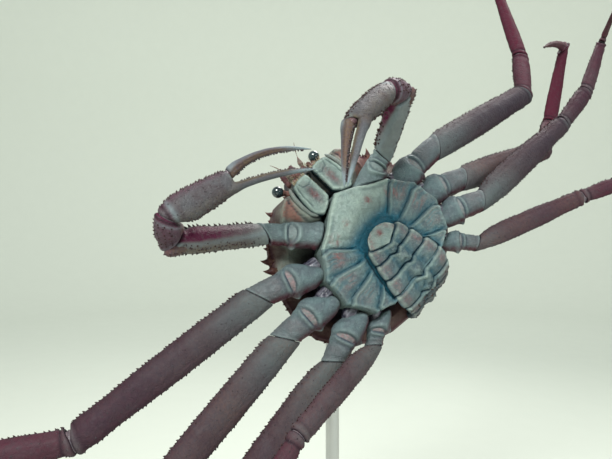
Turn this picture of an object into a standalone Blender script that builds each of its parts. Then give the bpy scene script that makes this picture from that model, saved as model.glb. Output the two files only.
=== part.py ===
# A male snow crab, life size, held belly forward on a plain display stand.
# Lengths are in millimetres and angles in degrees, until a mesh is made in metres.
# The origin is the middle of the stand's underside, +Z is up and the belly looks along -Y.

import math
import random

import bpy
import bmesh
from mathutils import Matrix, Vector

MM = 0.001
GAP = 0.3
LIMB_SIDES = 12
# Half breadth and half depth of a limb's blunt point.
LIMB_POINT = (0.35, 0.35)

# The body's place: the breastplate's middle, the lean of its long axis and its roll.
BODY_CENTRE = Vector((4.0, -34.0, 285.0))
SPINE_LEAN = math.radians(43.5)
ROLL = math.radians(20.0)

# The shell: half widths at distances ahead of the breastplate's middle.
SHELL_OUTLINE = (
    (65.0, 0.0), (64.5, 6.5), (60.5, 10.0), (57.0, 13.5), (56.5, 19.0), (58.5, 23.5),
    (54.0, 33.0), (47.0, 43.0), (37.0, 51.5), (18.0, 62.0), (0.0, 67.0), (-16.0, 66.0),
    (-31.0, 58.5), (-43.0, 44.0), (-50.0, 28.0), (-53.0, 12.0), (-53.5, 0.0),
)
SHELL_SECTORS = 56
SHELL_RIM = -31.0
SHELL_DOME = 27.0
SHELL_UNDERSIDE = -29.0
# Swellings of the back: ahead, left, radius, height.
SHELL_SWELLINGS = (
    (-14.0, 34.0, 22.0, 4.5), (-14.0, -34.0, 22.0, 4.5), (26.0, 0.0, 17.0, 4.0),
    (-20.0, 0.0, 12.0, 3.0), (30.0, 34.0, 12.0, 3.0), (30.0, -34.0, 12.0, 3.0),
)
MOUTH_FLOOR = -8.6
MOUTH_FRONT = 58.5
MOUTH_ANGLE = 26.0
MOUTH_EDGE_ANGLE = 32.0
HORN_LENGTH = 9.0

# The breastplate: outer rim and inner rim round the flap, on one side.
STERNUM_STATIONS = (
    (37.0, 0.0, 7.5, 0.0, False), (30.3, 13.5, 6.8, 6.0, False), (25.3, 22.5, 5.6, 10.5, False),
    (20.0, 32.0, 3.4, 14.2, True), (5.6, 43.7, -3.6, 18.4, True), (-12.4, 45.8, -10.5, 19.2, True),
    (-28.7, 36.7, -20.5, 21.2, True), (-33.5, 24.5, -31.0, 23.4, False),
)
CLAW_SOCKET = 1
STERNUM_DEPTH = 18.0
CAVITY_DEPTH = 3.2
GROOVE_DEPTH = 1.0

# The flap: ahead, belly height, half width and segment edge of each cross row.
FLAP_ROWS = (
    (5.0, -0.6, 3.5, False), (3.2, 0.4, 7.6, False), (-0.4, 1.1, 10.6, False), (-1.2, 0.5, 12.6, True),
    (-2.6, 1.5, 14.6, False), (-7.0, 1.9, 15.8, False), (-10.8, 1.6, 16.4, False),
    (-11.7, 0.7, 16.6, True), (-12.8, 1.7, 17.6, False), (-17.0, 2.0, 18.4, False),
    (-20.8, 1.8, 18.9, False), (-21.7, 0.9, 19.0, True), (-22.8, 2.0, 20.6, False),
    (-27.0, 2.2, 21.4, False), (-31.0, 1.7, 21.9, False), (-31.9, 0.6, 21.6, True),
    (-33.0, 1.2, 22.6, False), (-37.5, 0.2, 22.6, False), (-41.0, -1.6, 21.6, False),
    (-41.9, -3.2, 20.6, True), (-43.2, -3.0, 20.6, False), (-46.6, -6.4, 19.4, False),
    (-48.0, -9.4, 18.4, True), (-49.6, -10.6, 18.0, False), (-52.0, -17.0, 16.4, False),
    (-52.6, -22.0, 15.2, False), (-52.6, -28.7, 14.6, False),
)
FLAP_THICKNESS = 4.2
# Height of the flap across its width: share of the half width, share of the relief.
FLAP_RELIEF = (
    (-1.0, -0.9), (-0.9, 0.25), (-0.6, 0.35), (-0.3, -0.15), (-0.15, 1.0), (0.0, 1.25),
    (0.15, 1.0), (0.3, -0.15), (0.6, 0.35), (0.9, 0.25), (1.0, -0.9),
)
FLAP_RIDGE = 1.3

# One mouth plate's outline: ahead, left.
MOUTH_PLATE = ((57.2, 2.5), (55.0, 12.0), (48.0, 15.2), (39.5, 17.6), (33.4, 14.0), (39.2, 2.5))
MOUTH_PLATE_TOP = -2.6

EYE_ROOT = (58.2, 13.2, -21.5)
EYE_AIM = (0.62, 0.55, 0.25)
EYE_STALK = 3.4
EYE_BALL = 3.2
ANTENNA_ROOT = (64.6, 6.0, -16.5)
ANTENNA_AIM = (0.85, 0.35, 0.3)
ANTENNA_LENGTH = 16.0
# Share of the feeler's length, half breadth and half depth.
ANTENNA_ROWS = ((0.0, 1.5, 1.4), (0.12, 1.6, 1.5), (0.3, 1.2, 1.1), (0.34, 0.8, 0.8), (0.7, 0.55, 0.55),
                (1.0, 0.3, 0.3))

# Legs, first to last: lengths of merus, carpus, propodus and dactyl,
# then the half breadth where each of them starts and at the tip.
LEG_LENGTHS = ((124.0, 48.0, 76.0, 50.0), (130.0, 50.0, 80.0, 50.0), (118.0, 45.0, 68.0, 46.0),
               (86.0, 31.0, 46.0, 33.0))
LEG_BREADTHS = ((7.6, 7.6, 6.4, 4.6), (7.6, 7.4, 6.2, 4.4), (7.2, 6.2, 5.4, 4.0), (5.2, 4.8, 4.2, 3.2))
HIP_LENGTHS = {"left": (40.0, 40.0, 36.0, 28.0), "right": (39.6, 37.2, 32.0, 22.0)}
# Each segment's sweep towards the head and lift towards the back, hip to dactyl.
LEG_POSES = {
    "left": (
        ((-4, 0), (-13, 16), (26, 18), (47, 10), (84, -34)),
        ((-23, 14), (-22, 23), (6, 26), (27, -5), (159, -26)),
        ((-26, 4), (-8, 10), (0, 6), (11, 10), (100, -64)),
        ((-49, 6), (-24, -5), (-27, -6), (-32, -1), (6, -32)),
    ),
    "right": (
        ((22, 12), (9, 6), (38, 4), (62, 8), (98, -34)),
        ((5, 13), (-2, 3), (15, 1), (38, 8), (75, -30)),
        ((-18, 13), (-4, 3), (8, 5), (25, 12), (60, -30)),
        ((-33, 16), (10, -33), (-6, -18), (-4, 2), (30, -30)),
    ),
}

# Claws: hip, merus, carpus, palm and finger.
CLAW_LENGTHS = {"left": (22.4, 44.0, 14.6, 38.0, 45.0), "right": (34.4, 58.0, 17.0, 40.0, 49.5)}
CLAW_POSES = {
    "left": ((17, -10), (44.4, -57.2), (147.8, -32), (179.8, -15.8), (-151.5, -19)),
    "right": ((49, 9), (35, -20), (125, -52), (-167, 1), (-145, -10)),
}
CLAW_TURN = {"left": 58.0, "right": 4.0}
PALM_HALF_HEIGHT = 9.2
PALM_HALF_THICKNESS = 5.6
# Of the movable and the fixed finger: how far the tip is set along and across, and the bow.
FINGER_TIPS = {"left": ((0.0, 0.6), (0.0, -1.0)), "right": ((0.0, 9.5), (-3.5, -3.5))}
FINGER_BOWS = {"left": (2.0, 1.5), "right": (6.0, 3.0)}
FINGER_OFFSET = 3.9
FIXED_FINGER_SINK = 9.0

# Rows of spines: angle round the limb from its head edge, first and last share of its length,
# count, height and root radius.
MERUS_SPINES = ((8, 0.1, 0.94, 9, 2.6, 1.5), (176, 0.2, 0.92, 5, 1.7, 1.3))
LAST_MERUS_SPINES = ((8, 0.12, 0.92, 5, 1.6, 1.1),)
CARPUS_SPINES = ((0, 0.16, 0.8, 3, 1.6, 1.2),)
CLAW_MERUS_SPINES = ((4, 0.12, 0.84, 7, 2.6, 1.4), (180, 0.1, 0.84, 7, 1.8, 1.2),
                     (60, 0.4, 0.78, 3, 1.6, 1.2))
PALM_SPINES = ((0, 0.14, 0.94, 8, 1.7, 1.3), (28, 0.2, 0.88, 4, 1.2, 1.2), (-28, 0.2, 0.88, 4, 1.2, 1.2),
               (180, 0.24, 0.62, 3, 1.2, 1.2))
FINGER_TEETH = ((180, 0.18, 0.82, 5, 0.9, 1.0),)
FIXED_FINGER_TEETH = ((0, 0.34, 0.84, 5, 0.9, 1.0),)
# The wrist's rows are turned from the outer side of its bend.
CLAW_CARPUS_SPINES = ((0, 0.25, 0.75, 2, 1.8, 1.3), (48, 0.35, 0.65, 2, 1.5, 1.2),
                      (-48, 0.35, 0.65, 2, 1.5, 1.2))
SPINE_SIDES = 4
SPINE_SEED = 7
SPINE_ROOT_DEPTH = 2.4
# How far a limb's spines lean towards its tip, and how far their rows wander, in degrees.
SPINE_TILT = 0.3
SPINE_WANDER = 7.0

# Spines of the shell's edge, on one side: ahead, height, root radius.
EDGE_SPINES = (
    (56.0, 4.4, 2.2), (49.0, 3.2, 1.9), (43.5, 2.6, 1.8), (37.5, 5.6, 2.6), (31.5, 5.2, 2.6),
    (25.5, 4.6, 2.4), (17.0, 2.6, 1.8), (8.0, 2.4, 1.7), (-2.0, 2.2, 1.7), (-12.0, 2.4, 1.7),
    (-22.0, 2.2, 1.7), (-33.0, 1.9, 1.6),
)
# Tubercles of the back, on one side: ahead, left, height, root radius.
BACK_TUBERCLES = (
    (42.0, 12.0, 2.2, 2.0), (32.0, 6.0, 2.0, 2.0), (28.0, 31.0, 2.6, 2.2), (16.0, 40.0, 2.4, 2.0),
    (2.0, 40.0, 2.2, 2.0), (-8.0, 26.0, 2.0, 2.0), (-16.0, 40.0, 2.2, 2.0), (-30.0, 26.0, 2.0, 2.0),
)

# The stand.
BASE_SIZE = (230.0, 200.0, 12.0)
BASE_EDGE = 2.0
ROD_RADIUS = 5.0
ROD_BEND = 26.0
PAD_RADIUS = 13.0
PAD_THICKNESS = 4.0
PAD_PLACE = (2.0, -3.0)


def body_axes():
    side = Vector((math.sin(SPINE_LEAN), 0.0, math.cos(SPINE_LEAN)))
    ahead = Vector((-math.cos(SPINE_LEAN), 0.0, math.sin(SPINE_LEAN)))
    left = side * math.cos(ROLL) + Vector((0.0, math.sin(ROLL), 0.0))
    belly = side * math.sin(ROLL) - Vector((0.0, math.cos(ROLL), 0.0))
    return ahead, left, belly


AHEAD, LEFT, BELLY = body_axes()


def body_point(ahead, left, belly):
    return BODY_CENTRE + AHEAD * ahead + LEFT * left + BELLY * belly


def body_direction(sweep, lift, side):
    sweep = math.radians(sweep)
    lift = math.radians(lift)
    outward = LEFT if side == "left" else -LEFT
    flat = AHEAD * math.sin(sweep) + outward * math.cos(sweep)
    return flat * math.cos(lift) - BELLY * math.sin(lift)


def make_material(name, colour, roughness, metallic=0.0):
    material = bpy.data.materials.new(name)
    material.use_nodes = True
    shader = material.node_tree.nodes["Principled BSDF"]
    shader.inputs["Base Color"].default_value = (*colour, 1.0)
    shader.inputs["Roughness"].default_value = roughness
    shader.inputs["Metallic"].default_value = metallic
    return material


def make_object(name, verts, faces, material):
    mesh = bpy.data.meshes.new(name)
    mesh.from_pydata([vert * MM for vert in verts], [], faces)
    work = bmesh.new()
    work.from_mesh(mesh)
    bmesh.ops.recalc_face_normals(work, faces=work.faces)
    bmesh.ops.triangulate(work, faces=work.faces)
    work.to_mesh(mesh)
    work.free()
    mesh.shade_smooth()
    mesh.set_sharp_from_angle(angle=math.radians(50.0))
    if material is not None:
        mesh.materials.append(material)
    part = bpy.data.objects.new(name, mesh)
    bpy.context.scene.collection.objects.link(part)
    return part


def keep_largest(part):
    work = bmesh.new()
    work.from_mesh(part.data)
    left_over = set(work.verts)
    shells = []
    while left_over:
        seed = left_over.pop()
        shell = {seed}
        edge_of_shell = [seed]
        while edge_of_shell:
            vert = edge_of_shell.pop()
            for edge in vert.link_edges:
                other = edge.other_vert(vert)
                if other not in shell:
                    shell.add(other)
                    edge_of_shell.append(other)
        left_over -= shell
        shells.append(shell)
    shells.sort(key=len)
    for shell in shells[:-1]:
        bmesh.ops.delete(work, geom=list(shell), context="VERTS")
    work.to_mesh(part.data)
    work.free()


def fuse(part, pieces, solver="EXACT"):
    group = bpy.data.collections.new(part.name + "_pieces")
    bpy.context.scene.collection.children.link(group)
    for piece in pieces:
        bpy.context.scene.collection.objects.unlink(piece)
        group.objects.link(piece)
    union = part.modifiers.new("Union", "BOOLEAN")
    union.operation = "UNION"
    union.operand_type = "COLLECTION"
    union.collection = group
    union.solver = solver
    graph = bpy.context.evaluated_depsgraph_get()
    joined = bpy.data.meshes.new_from_object(part.evaluated_get(graph))
    part.modifiers.clear()
    material = part.data.materials[0]
    part.data = joined
    joined.name = part.name
    joined.materials.clear()
    joined.materials.append(material)
    for piece in list(group.objects):
        bpy.data.objects.remove(piece)
    bpy.data.collections.remove(group)
    keep_largest(part)
    return part


def ring_faces(ring_count, sides):
    faces = []
    for ring in range(ring_count - 1):
        for k in range(sides):
            following = (k + 1) % sides
            low = ring * sides
            high = low + sides
            faces.append((low + k, low + following, high + following, high + k))
    faces.append(tuple(range(sides)))
    faces.append(tuple(range((ring_count - 1) * sides, ring_count * sides)))
    return faces


def limb(name, start, end, start_plane, end_plane, broad, profile, material, bow=(0.0, 0.0)):
    """Rows of (share of length, half breadth, half depth), cut flat on the joints' planes."""
    axis = (end - start).normalized()
    broad = (broad - axis * broad.dot(axis)).normalized()
    deep = axis.cross(broad)
    length = (end - start).length
    verts = []
    for share, half_breadth, half_depth in profile:
        arch = 4.0 * share * (1.0 - share)
        shift = broad * bow[0] * arch + deep * bow[1] * arch
        for k in range(LIMB_SIDES):
            angle = math.tau * (k + 0.5) / LIMB_SIDES
            spoke = broad * math.cos(angle) * half_breadth + deep * math.sin(angle) * half_depth
            slide = share * length
            if start_plane is not None:
                slide += joint_skew(spoke, axis, start_plane, share * length, half_breadth, length, 1)
            if end_plane is not None:
                slide += joint_skew(spoke, axis, end_plane, (1 - share) * length, half_breadth, length, -1)
            verts.append(start + shift + spoke + axis * slide)
    return make_object(name, verts, ring_faces(len(profile), LIMB_SIDES), material)


def joint_skew(spoke, axis, plane, distance, half_breadth, length, way):
    slope = abs(axis.dot(plane))
    tangent = math.sqrt(max(0.0, 1.0 - slope * slope)) / slope
    reach = min(0.48 * length, 2.2 * half_breadth * tangent + 2.0)
    fade = max(0.0, 1.0 - distance / reach)
    return fade * (way * GAP / 2 - plane.dot(spoke)) / plane.dot(axis)


def profile_at(profile, share):
    for low, high in zip(profile, profile[1:]):
        if share <= high[0]:
            mix = (share - low[0]) / (high[0] - low[0])
            return [low[k] + (high[k] - low[k]) * mix for k in (1, 2)]
    return profile[-1][1:]


def spine(root, out, height, sink, radius):
    """A pointed cone whose radius is measured on the skin and whose root is sunk below it."""
    out = out.normalized()
    across = out.orthogonal().normalized()
    along = out.cross(across)
    wide = radius * (height + sink) / height
    verts = []
    for k in range(SPINE_SIDES):
        angle = math.tau * k / SPINE_SIDES
        verts.append(root - out * sink + (across * math.cos(angle) + along * math.sin(angle)) * wide)
    verts.append(root + out * height)
    faces = [(k, (k + 1) % SPINE_SIDES, SPINE_SIDES) for k in range(SPINE_SIDES)]
    faces.append(tuple(range(SPINE_SIDES)))
    return make_object("spine", verts, faces, None)


def limb_spines(part, start, end, broad, profile, rows, mirrored=False, bow=(0.0, 0.0)):
    """Grows rows of spines on a limb and joins them to it."""
    draw = random.Random(f"{SPINE_SEED} {part.name}")
    axis = (end - start).normalized()
    broad = (broad - axis * broad.dot(axis)).normalized()
    deep = axis.cross(broad)
    spines = []
    for turned, first, last, count, height, radius in rows:
        angle = math.radians(180.0 - turned if mirrored else turned)
        for k in range(count):
            share = first + (last - first) * (k + draw.uniform(-0.16, 0.16)) / (count - 1)
            half_breadth, half_depth = profile_at(profile, share)
            arch = 4.0 * share * (1.0 - share)
            middle = start + (end - start) * share + (broad * bow[0] + deep * bow[1]) * arch
            swing = angle + math.radians(draw.uniform(-SPINE_WANDER, SPINE_WANDER))
            spoke = broad * math.cos(swing) * half_breadth + deep * math.sin(swing) * half_depth
            out = broad * math.cos(swing) / half_breadth + deep * math.sin(swing) / half_depth
            out = out.normalized() + axis * SPINE_TILT
            rise = height * draw.uniform(0.75, 1.25)
            sink = min(0.45 * spoke.length, SPINE_ROOT_DEPTH)
            spines.append(spine(middle + spoke * 0.97, out, rise, sink, radius))
    return fuse(part, spines)


def joint_plane(before, after):
    return (before + after).normalized()


def chain_points(start, side, lengths, poses):
    points = [start]
    ways = []
    for length, (sweep, lift) in zip(lengths, poses):
        way = body_direction(sweep, lift, side)
        ways.append(way)
        points.append(points[-1] + way * length)
    return points, ways


def socket_frame(limb_number, side):
    """The middle of one edge of the breastplate and the way it faces; the claw is limb 0."""
    first = STERNUM_STATIONS[CLAW_SOCKET if limb_number == 0 else limb_number + 2]
    second = STERNUM_STATIONS[limb_number + 3]
    sign = 1.0 if side == "left" else -1.0
    ahead = (first[0] + second[0]) / 2
    left = (first[1] + second[1]) / 2
    middle = body_point(ahead, sign * left, -STERNUM_DEPTH / 2)
    along = Vector((second[0] - first[0], second[1] - first[1])).normalized()
    outward = AHEAD * along.y - LEFT * along.x * sign
    return middle, outward


def hip_profile(half_breadth, half_depth):
    return ((0.0, 0.86 * half_breadth, 0.86 * half_depth), (0.14, 1.06 * half_breadth, 1.02 * half_depth),
            (0.34, 1.2 * half_breadth, 1.1 * half_depth), (0.54, 1.17 * half_breadth, 1.04 * half_depth),
            (0.63, 1.06 * half_breadth, 0.93 * half_depth), (0.72, 1.12 * half_breadth, 0.98 * half_depth),
            (0.88, 1.1 * half_breadth, 0.95 * half_depth), (1.0, half_breadth, 0.85 * half_depth))


def merus_profile(first, last):
    middle = 1.22 * first
    return ((0.0, first, 0.8 * first), (0.07, 1.1 * first, 0.84 * first),
            (0.2, 0.98 * middle, 0.66 * middle), (0.4, middle, 0.62 * middle),
            (0.62, 0.96 * middle, 0.6 * middle), (0.82, 1.08 * last, 0.74 * last),
            (0.93, 1.1 * last, 0.8 * last), (1.0, last, 0.74 * last))


def carpus_profile(first, last):
    return ((0.0, 0.94 * first, 0.72 * first), (0.15, 0.9 * first, 0.7 * first),
            (0.5, 0.98 * first, 0.7 * first), (0.85, 1.12 * last, 0.78 * last), (1.0, last, 0.72 * last))


def propodus_profile(first, last):
    return ((0.0, 0.94 * first, 0.7 * first), (0.12, first, 0.68 * first),
            (0.45, 0.94 * first, 0.6 * first), (0.85, 1.02 * last, 0.68 * last), (1.0, last, 0.66 * last))


def dactyl_profile(first):
    return ((0.0, 0.92 * first, 0.62 * first), (0.12, 0.9 * first, 0.62 * first),
            (0.4, 0.68 * first, 0.5 * first), (0.7, 0.42 * first, 0.34 * first),
            (0.9, 0.22 * first, 0.2 * first), (1.0, *LIMB_POINT))


def make_leg(number, side, materials):
    middle, outward = socket_frame(number, side)
    lengths = (HIP_LENGTHS[side][number - 1], *LEG_LENGTHS[number - 1])
    points, ways = chain_points(middle, side, lengths, LEG_POSES[side][number - 1])
    first, second, third, fourth = LEG_BREADTHS[number - 1]
    profiles = (hip_profile(first, 0.98 * first), merus_profile(first, second),
                carpus_profile(second, third), propodus_profile(third, fourth), dactyl_profile(fourth))
    planes = [outward] + [joint_plane(ways[k], ways[k + 1]) for k in range(4)] + [None]
    for k, segment in enumerate(("hip", "merus", "carpus", "propodus", "dactyl")):
        broad = BELLY.cross(ways[k])
        bow = (0.0, 0.0)
        if segment == "dactyl":
            bend = ways[k] - ways[k - 1]
            bow = (-3.0 * bend.dot(broad.normalized()), -3.0 * bend.dot(ways[k].cross(broad.normalized())))
        name = f"leg{number}_{side}_{segment}"
        part = limb(name, points[k], points[k + 1], planes[k], planes[k + 1], broad, profiles[k],
                    materials[segment], bow)
        rows = {"merus": LAST_MERUS_SPINES if number == 4 else MERUS_SPINES,
                "carpus": () if number == 4 else CARPUS_SPINES}.get(segment, ())
        if rows:
            limb_spines(part, points[k], points[k + 1], broad, profiles[k], rows, side == "right")


CLAW_MERUS = ((0.0, 6.4, 6.0), (0.15, 6.9, 6.2), (0.5, 7.2, 6.4), (0.84, 7.2, 6.2), (1.0, 5.2, 4.8))
CLAW_CARPUS = ((0.0, 5.2, 4.8), (0.3, 7.4, 6.8), (0.65, 7.6, 7.0), (1.0, 5.4, 5.0))
PALM = tuple((share, high * PALM_HALF_HEIGHT, deep * PALM_HALF_THICKNESS) for share, high, deep in
             ((0.0, 0.6, 0.9), (0.2, 0.88, 1.08), (0.5, 1.0, 1.1), (0.8, 0.96, 1.0), (0.94, 0.86, 0.82),
              (1.0, 0.7, 0.62)))
FINGER = ((0.0, 3.2, 3.0), (0.1, 3.3, 3.1), (0.35, 2.6, 2.5), (0.65, 1.9, 1.8), (0.88, 1.1, 1.0),
          (1.0, *LIMB_POINT))
FIXED_FINGER = ((0.0, 3.2, 3.2), (0.14, 3.9, 3.9), (0.32, 2.8, 3.0), (0.55, 2.1, 2.1), (0.8, 1.5, 1.4),
                (1.0, *LIMB_POINT))
CLAW_HIP_BREADTH = 6.4


def make_claw(side, materials):
    middle, outward = socket_frame(0, side)
    points, ways = chain_points(middle, side, CLAW_LENGTHS[side], CLAW_POSES[side])
    planes = [outward] + [joint_plane(ways[k], ways[k + 1]) for k in range(3)]
    broads = [BELLY.cross(way).normalized() for way in ways]
    limb(f"claw_{side}_hip", points[0], points[1], planes[0], planes[1], broads[0],
         hip_profile(CLAW_HIP_BREADTH, CLAW_HIP_BREADTH), materials["hip"])
    merus = limb(f"claw_{side}_merus", points[1], points[2], planes[1], planes[2], broads[1], CLAW_MERUS,
                 materials["claw"])
    limb_spines(merus, points[1], points[2], broads[1], CLAW_MERUS, CLAW_MERUS_SPINES, side == "right")
    carpus = limb(f"claw_{side}_carpus", points[2], points[3], planes[2], planes[3], broads[2], CLAW_CARPUS,
                  materials["claw"])
    limb_spines(carpus, points[2], points[3], ways[1] - ways[3], CLAW_CARPUS, CLAW_CARPUS_SPINES)
    palm_way = ways[3]
    sign = 1.0 if side == "left" else -1.0
    height = palm_way.cross(BELLY).normalized() * sign
    height = Matrix.Rotation(math.radians(CLAW_TURN[side]) * sign, 3, palm_way) @ height
    palm = limb(f"claw_{side}_palm", points[3], points[4], planes[3], palm_way, height, PALM,
                materials["claw"])
    finger_way = ways[4]
    tips = [points[4] + finger_way * (CLAW_LENGTHS[side][4] + along) + height * across
            for along, across in FINGER_TIPS[side]]
    root = points[4] + height * FINGER_OFFSET
    bow = (FINGER_BOWS[side][0], 0.0)
    finger = limb(f"claw_{side}_finger", root, tips[0], palm_way, None, height, FINGER,
                  materials["finger"], bow)
    limb_spines(finger, root, tips[0], height, FINGER, FINGER_TEETH, bow=bow)
    root = points[4] - height * FINGER_OFFSET - palm_way * FIXED_FINGER_SINK
    bow = (FINGER_BOWS[side][1], 0.0)
    fixed = limb("fixed_finger", root, tips[1], None, None, height, FIXED_FINGER, materials["claw"], bow)
    limb_spines(fixed, root, tips[1], height, FIXED_FINGER, FIXED_FINGER_TEETH, bow=bow)
    fuse(palm, [fixed])
    limb_spines(palm, points[3], points[4], height, PALM, PALM_SPINES)


def outline_radius(points, angle):
    """Distance from the middle to a closed half outline, mirrored, at an angle from straight ahead."""
    way = Vector((math.cos(angle), abs(math.sin(angle))))
    for (x0, y0), (x1, y1) in zip(points, points[1:]):
        edge = Vector((x1 - x0, y1 - y0))
        cross = way.x * edge.y - way.y * edge.x
        if abs(cross) < 1e-9:
            continue
        radius = (x0 * edge.y - y0 * edge.x) / cross
        along = (x0 * way.y - y0 * way.x) / cross
        if radius > 0.0 and -1e-6 <= along <= 1.0 + 1e-6:
            return radius
    return points[-1][0] * way.x


def smooth_step(value):
    value = min(1.0, max(0.0, value))
    return value * value * (3.0 - 2.0 * value)


def shell_height(ahead, left, share):
    """Height of the back at a share of the way from the middle to the rim."""
    height = SHELL_RIM - SHELL_DOME * (1.0 - share ** 2.4) ** 0.62
    for x, y, radius, rise in SHELL_SWELLINGS:
        distance = ((ahead - x) ** 2 + (left - y) ** 2) / (radius * radius)
        height -= rise * math.exp(-distance) * (1.0 - share ** 4)
    return height


def make_shell(material):
    sternum_outline = [(station[0], station[1]) for station in STERNUM_STATIONS] + [(-34.5, 0.0)]
    back_shares = (0.2, 0.38, 0.54, 0.68, 0.8, 0.9, 0.97)
    verts = [body_point(0.0, 0.0, shell_height(0.0, 0.0, 0.0))]
    angles = [math.tau * k / SHELL_SECTORS for k in range(SHELL_SECTORS)]
    rims = [outline_radius(SHELL_OUTLINE, angle) for angle in angles]
    for share in back_shares:
        for angle, rim in zip(angles, rims):
            x = rim * share * math.cos(angle)
            y = rim * share * math.sin(angle)
            verts.append(body_point(x, y, shell_height(x, y, share)))
    for angle, rim in zip(angles, rims):
        verts.append(body_point(rim * math.cos(angle), rim * math.sin(angle), SHELL_RIM))
    for row in range(6):
        for angle, rim in zip(angles, rims):
            turn = abs((math.degrees(angle) + 180.0) % 360.0 - 180.0)
            front = 1.0 - smooth_step((turn - MOUTH_ANGLE) / (MOUTH_EDGE_ANGLE - MOUTH_ANGLE))
            seat = outline_radius(sternum_outline, angle)
            brow = min(MOUTH_FRONT / math.cos(angle), 0.965 * rim) if turn < 60.0 else 0.95 * rim
            side_row = ((0.97 * rim, SHELL_UNDERSIDE), (0.55 * seat + 0.45 * rim, SHELL_UNDERSIDE),
                        (seat + 1.0, SHELL_UNDERSIDE), (seat - 1.6, SHELL_UNDERSIDE),
                        (seat - 2.2, -STERNUM_DEPTH - GAP), (0.5 * seat, -STERNUM_DEPTH - GAP))[row]
            front_row = ((0.985 * rim, -22.0), (brow, MOUTH_FLOOR), (0.5 * (brow + seat), MOUTH_FLOOR),
                         (seat + 2.0, MOUTH_FLOOR), (seat + 1.6, -STERNUM_DEPTH - GAP),
                         (0.5 * seat, -STERNUM_DEPTH - GAP))[row]
            radius = side_row[0] + (front_row[0] - side_row[0]) * front
            height = side_row[1] + (front_row[1] - side_row[1]) * front
            verts.append(body_point(radius * math.cos(angle), radius * math.sin(angle), height))
    verts.append(body_point(0.0, 0.0, -STERNUM_DEPTH - GAP))
    ring_count = len(back_shares) + 7
    faces = []
    for k in range(SHELL_SECTORS):
        following = (k + 1) % SHELL_SECTORS
        faces.append((0, 1 + k, 1 + following))
        for ring in range(ring_count - 1):
            low = 1 + ring * SHELL_SECTORS
            high = low + SHELL_SECTORS
            if k < SHELL_SECTORS // 2:
                faces.append((low + k, high + k, low + following))
                faces.append((high + k, high + following, low + following))
            else:
                faces.append((low + k, high + k, high + following))
                faces.append((low + k, high + following, low + following))
        last = 1 + (ring_count - 1) * SHELL_SECTORS
        faces.append((last + k, len(verts) - 1, last + following))
    shell = make_object("carapace", verts, faces, material)
    horns = [limb("horn", body_point(60.0, 3.4 * sign, SHELL_RIM + 2.0),
                  body_point(64.5 + HORN_LENGTH, 4.4 * sign, SHELL_RIM + 3.0), None, None, LEFT,
                  ((0.0, 3.0, 2.2), (0.55, 2.4, 1.6), (1.0, 0.5, 0.4)), material) for sign in (1.0, -1.0)]
    return fuse(shell, horns + edge_spines() + back_tubercles())


def edge_spines():
    """Spines round the shell's edge, pointing out and a little ahead."""
    draw = random.Random(SPINE_SEED)
    spines = []
    for sign in (1.0, -1.0):
        for ahead, height, radius in EDGE_SPINES:
            place = ahead + draw.uniform(-0.8, 0.8)
            left = rim_at(place)
            out = AHEAD * (0.25 + 0.9 * max(0.0, place - 20.0) / 36.0) + LEFT * sign
            if place < -20.0:
                out = AHEAD * (place + 20.0) / 24.0 + LEFT * sign
            out = out.normalized() - BELLY * 0.12
            root = body_point(place, sign * (left - 0.6), SHELL_RIM - 0.4)
            spines.append(spine(root, out, height * draw.uniform(0.85, 1.15), SPINE_ROOT_DEPTH, radius))
    return spines


def rim_at(ahead):
    """Half width of the shell's outline at a distance ahead, from the rear of the eye sockets back."""
    for (x0, y0), (x1, y1) in zip(SHELL_OUTLINE, SHELL_OUTLINE[1:]):
        if x0 >= ahead >= x1 and y0 >= 13.0:
            return y0 + (y1 - y0) * (x0 - ahead) / max(0.1, x0 - x1)
    return SHELL_OUTLINE[-2][1]


def back_tubercles():
    """Blunt points on the swellings of the back."""
    draw = random.Random(SPINE_SEED + 1)
    points = []
    for sign in (1.0, -1.0):
        for ahead, left, height, radius in BACK_TUBERCLES:
            x = ahead + draw.uniform(-1.5, 1.5)
            y = left + draw.uniform(-1.5, 1.5)
            share = math.hypot(x, y) / outline_radius(SHELL_OUTLINE, math.atan2(y, x))
            root = body_point(x, sign * y, shell_height(x, y, share) + 0.5)
            points.append(spine(root, -BELLY, height + 0.5, SPINE_ROOT_DEPTH, radius))
    return points


def sternum_rows():
    """One side's stations with the raised middle of each segment set between its grooves."""
    rows = []
    for first, second in zip(STERNUM_STATIONS, STERNUM_STATIONS[1:]):
        rows.append((*first[:4], GROOVE_DEPTH if first[4] else 0.0))
        for share in (0.14, 0.5, 0.86):
            mixed = [first[k] + (second[k] - first[k]) * share for k in range(4)]
            rows.append((*mixed, 0.0))
    rows.append((*STERNUM_STATIONS[-1][:4], 0.0))
    return rows


def sternum_height(share, groove, ahead):
    """Height from the flap's hollow to the rim; the front plate bulges."""
    bulge = 2.6 * smooth_step((ahead - 8.0) / 14.0) * math.sin(math.pi * min(1.0, share * 1.05))
    rows = ((0.0, -CAVITY_DEPTH), (0.14, -1.2), (0.4, 0.0), (0.7, 0.3), (0.9, 0.9), (1.0, -0.8))
    for (low, low_height), (high, high_height) in zip(rows, rows[1:]):
        if share <= high:
            height = low_height + (high_height - low_height) * (share - low) / (high - low)
            break
    return height + bulge - groove * (1.0 if 0.1 < share < 0.97 else 0.0)


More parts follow.
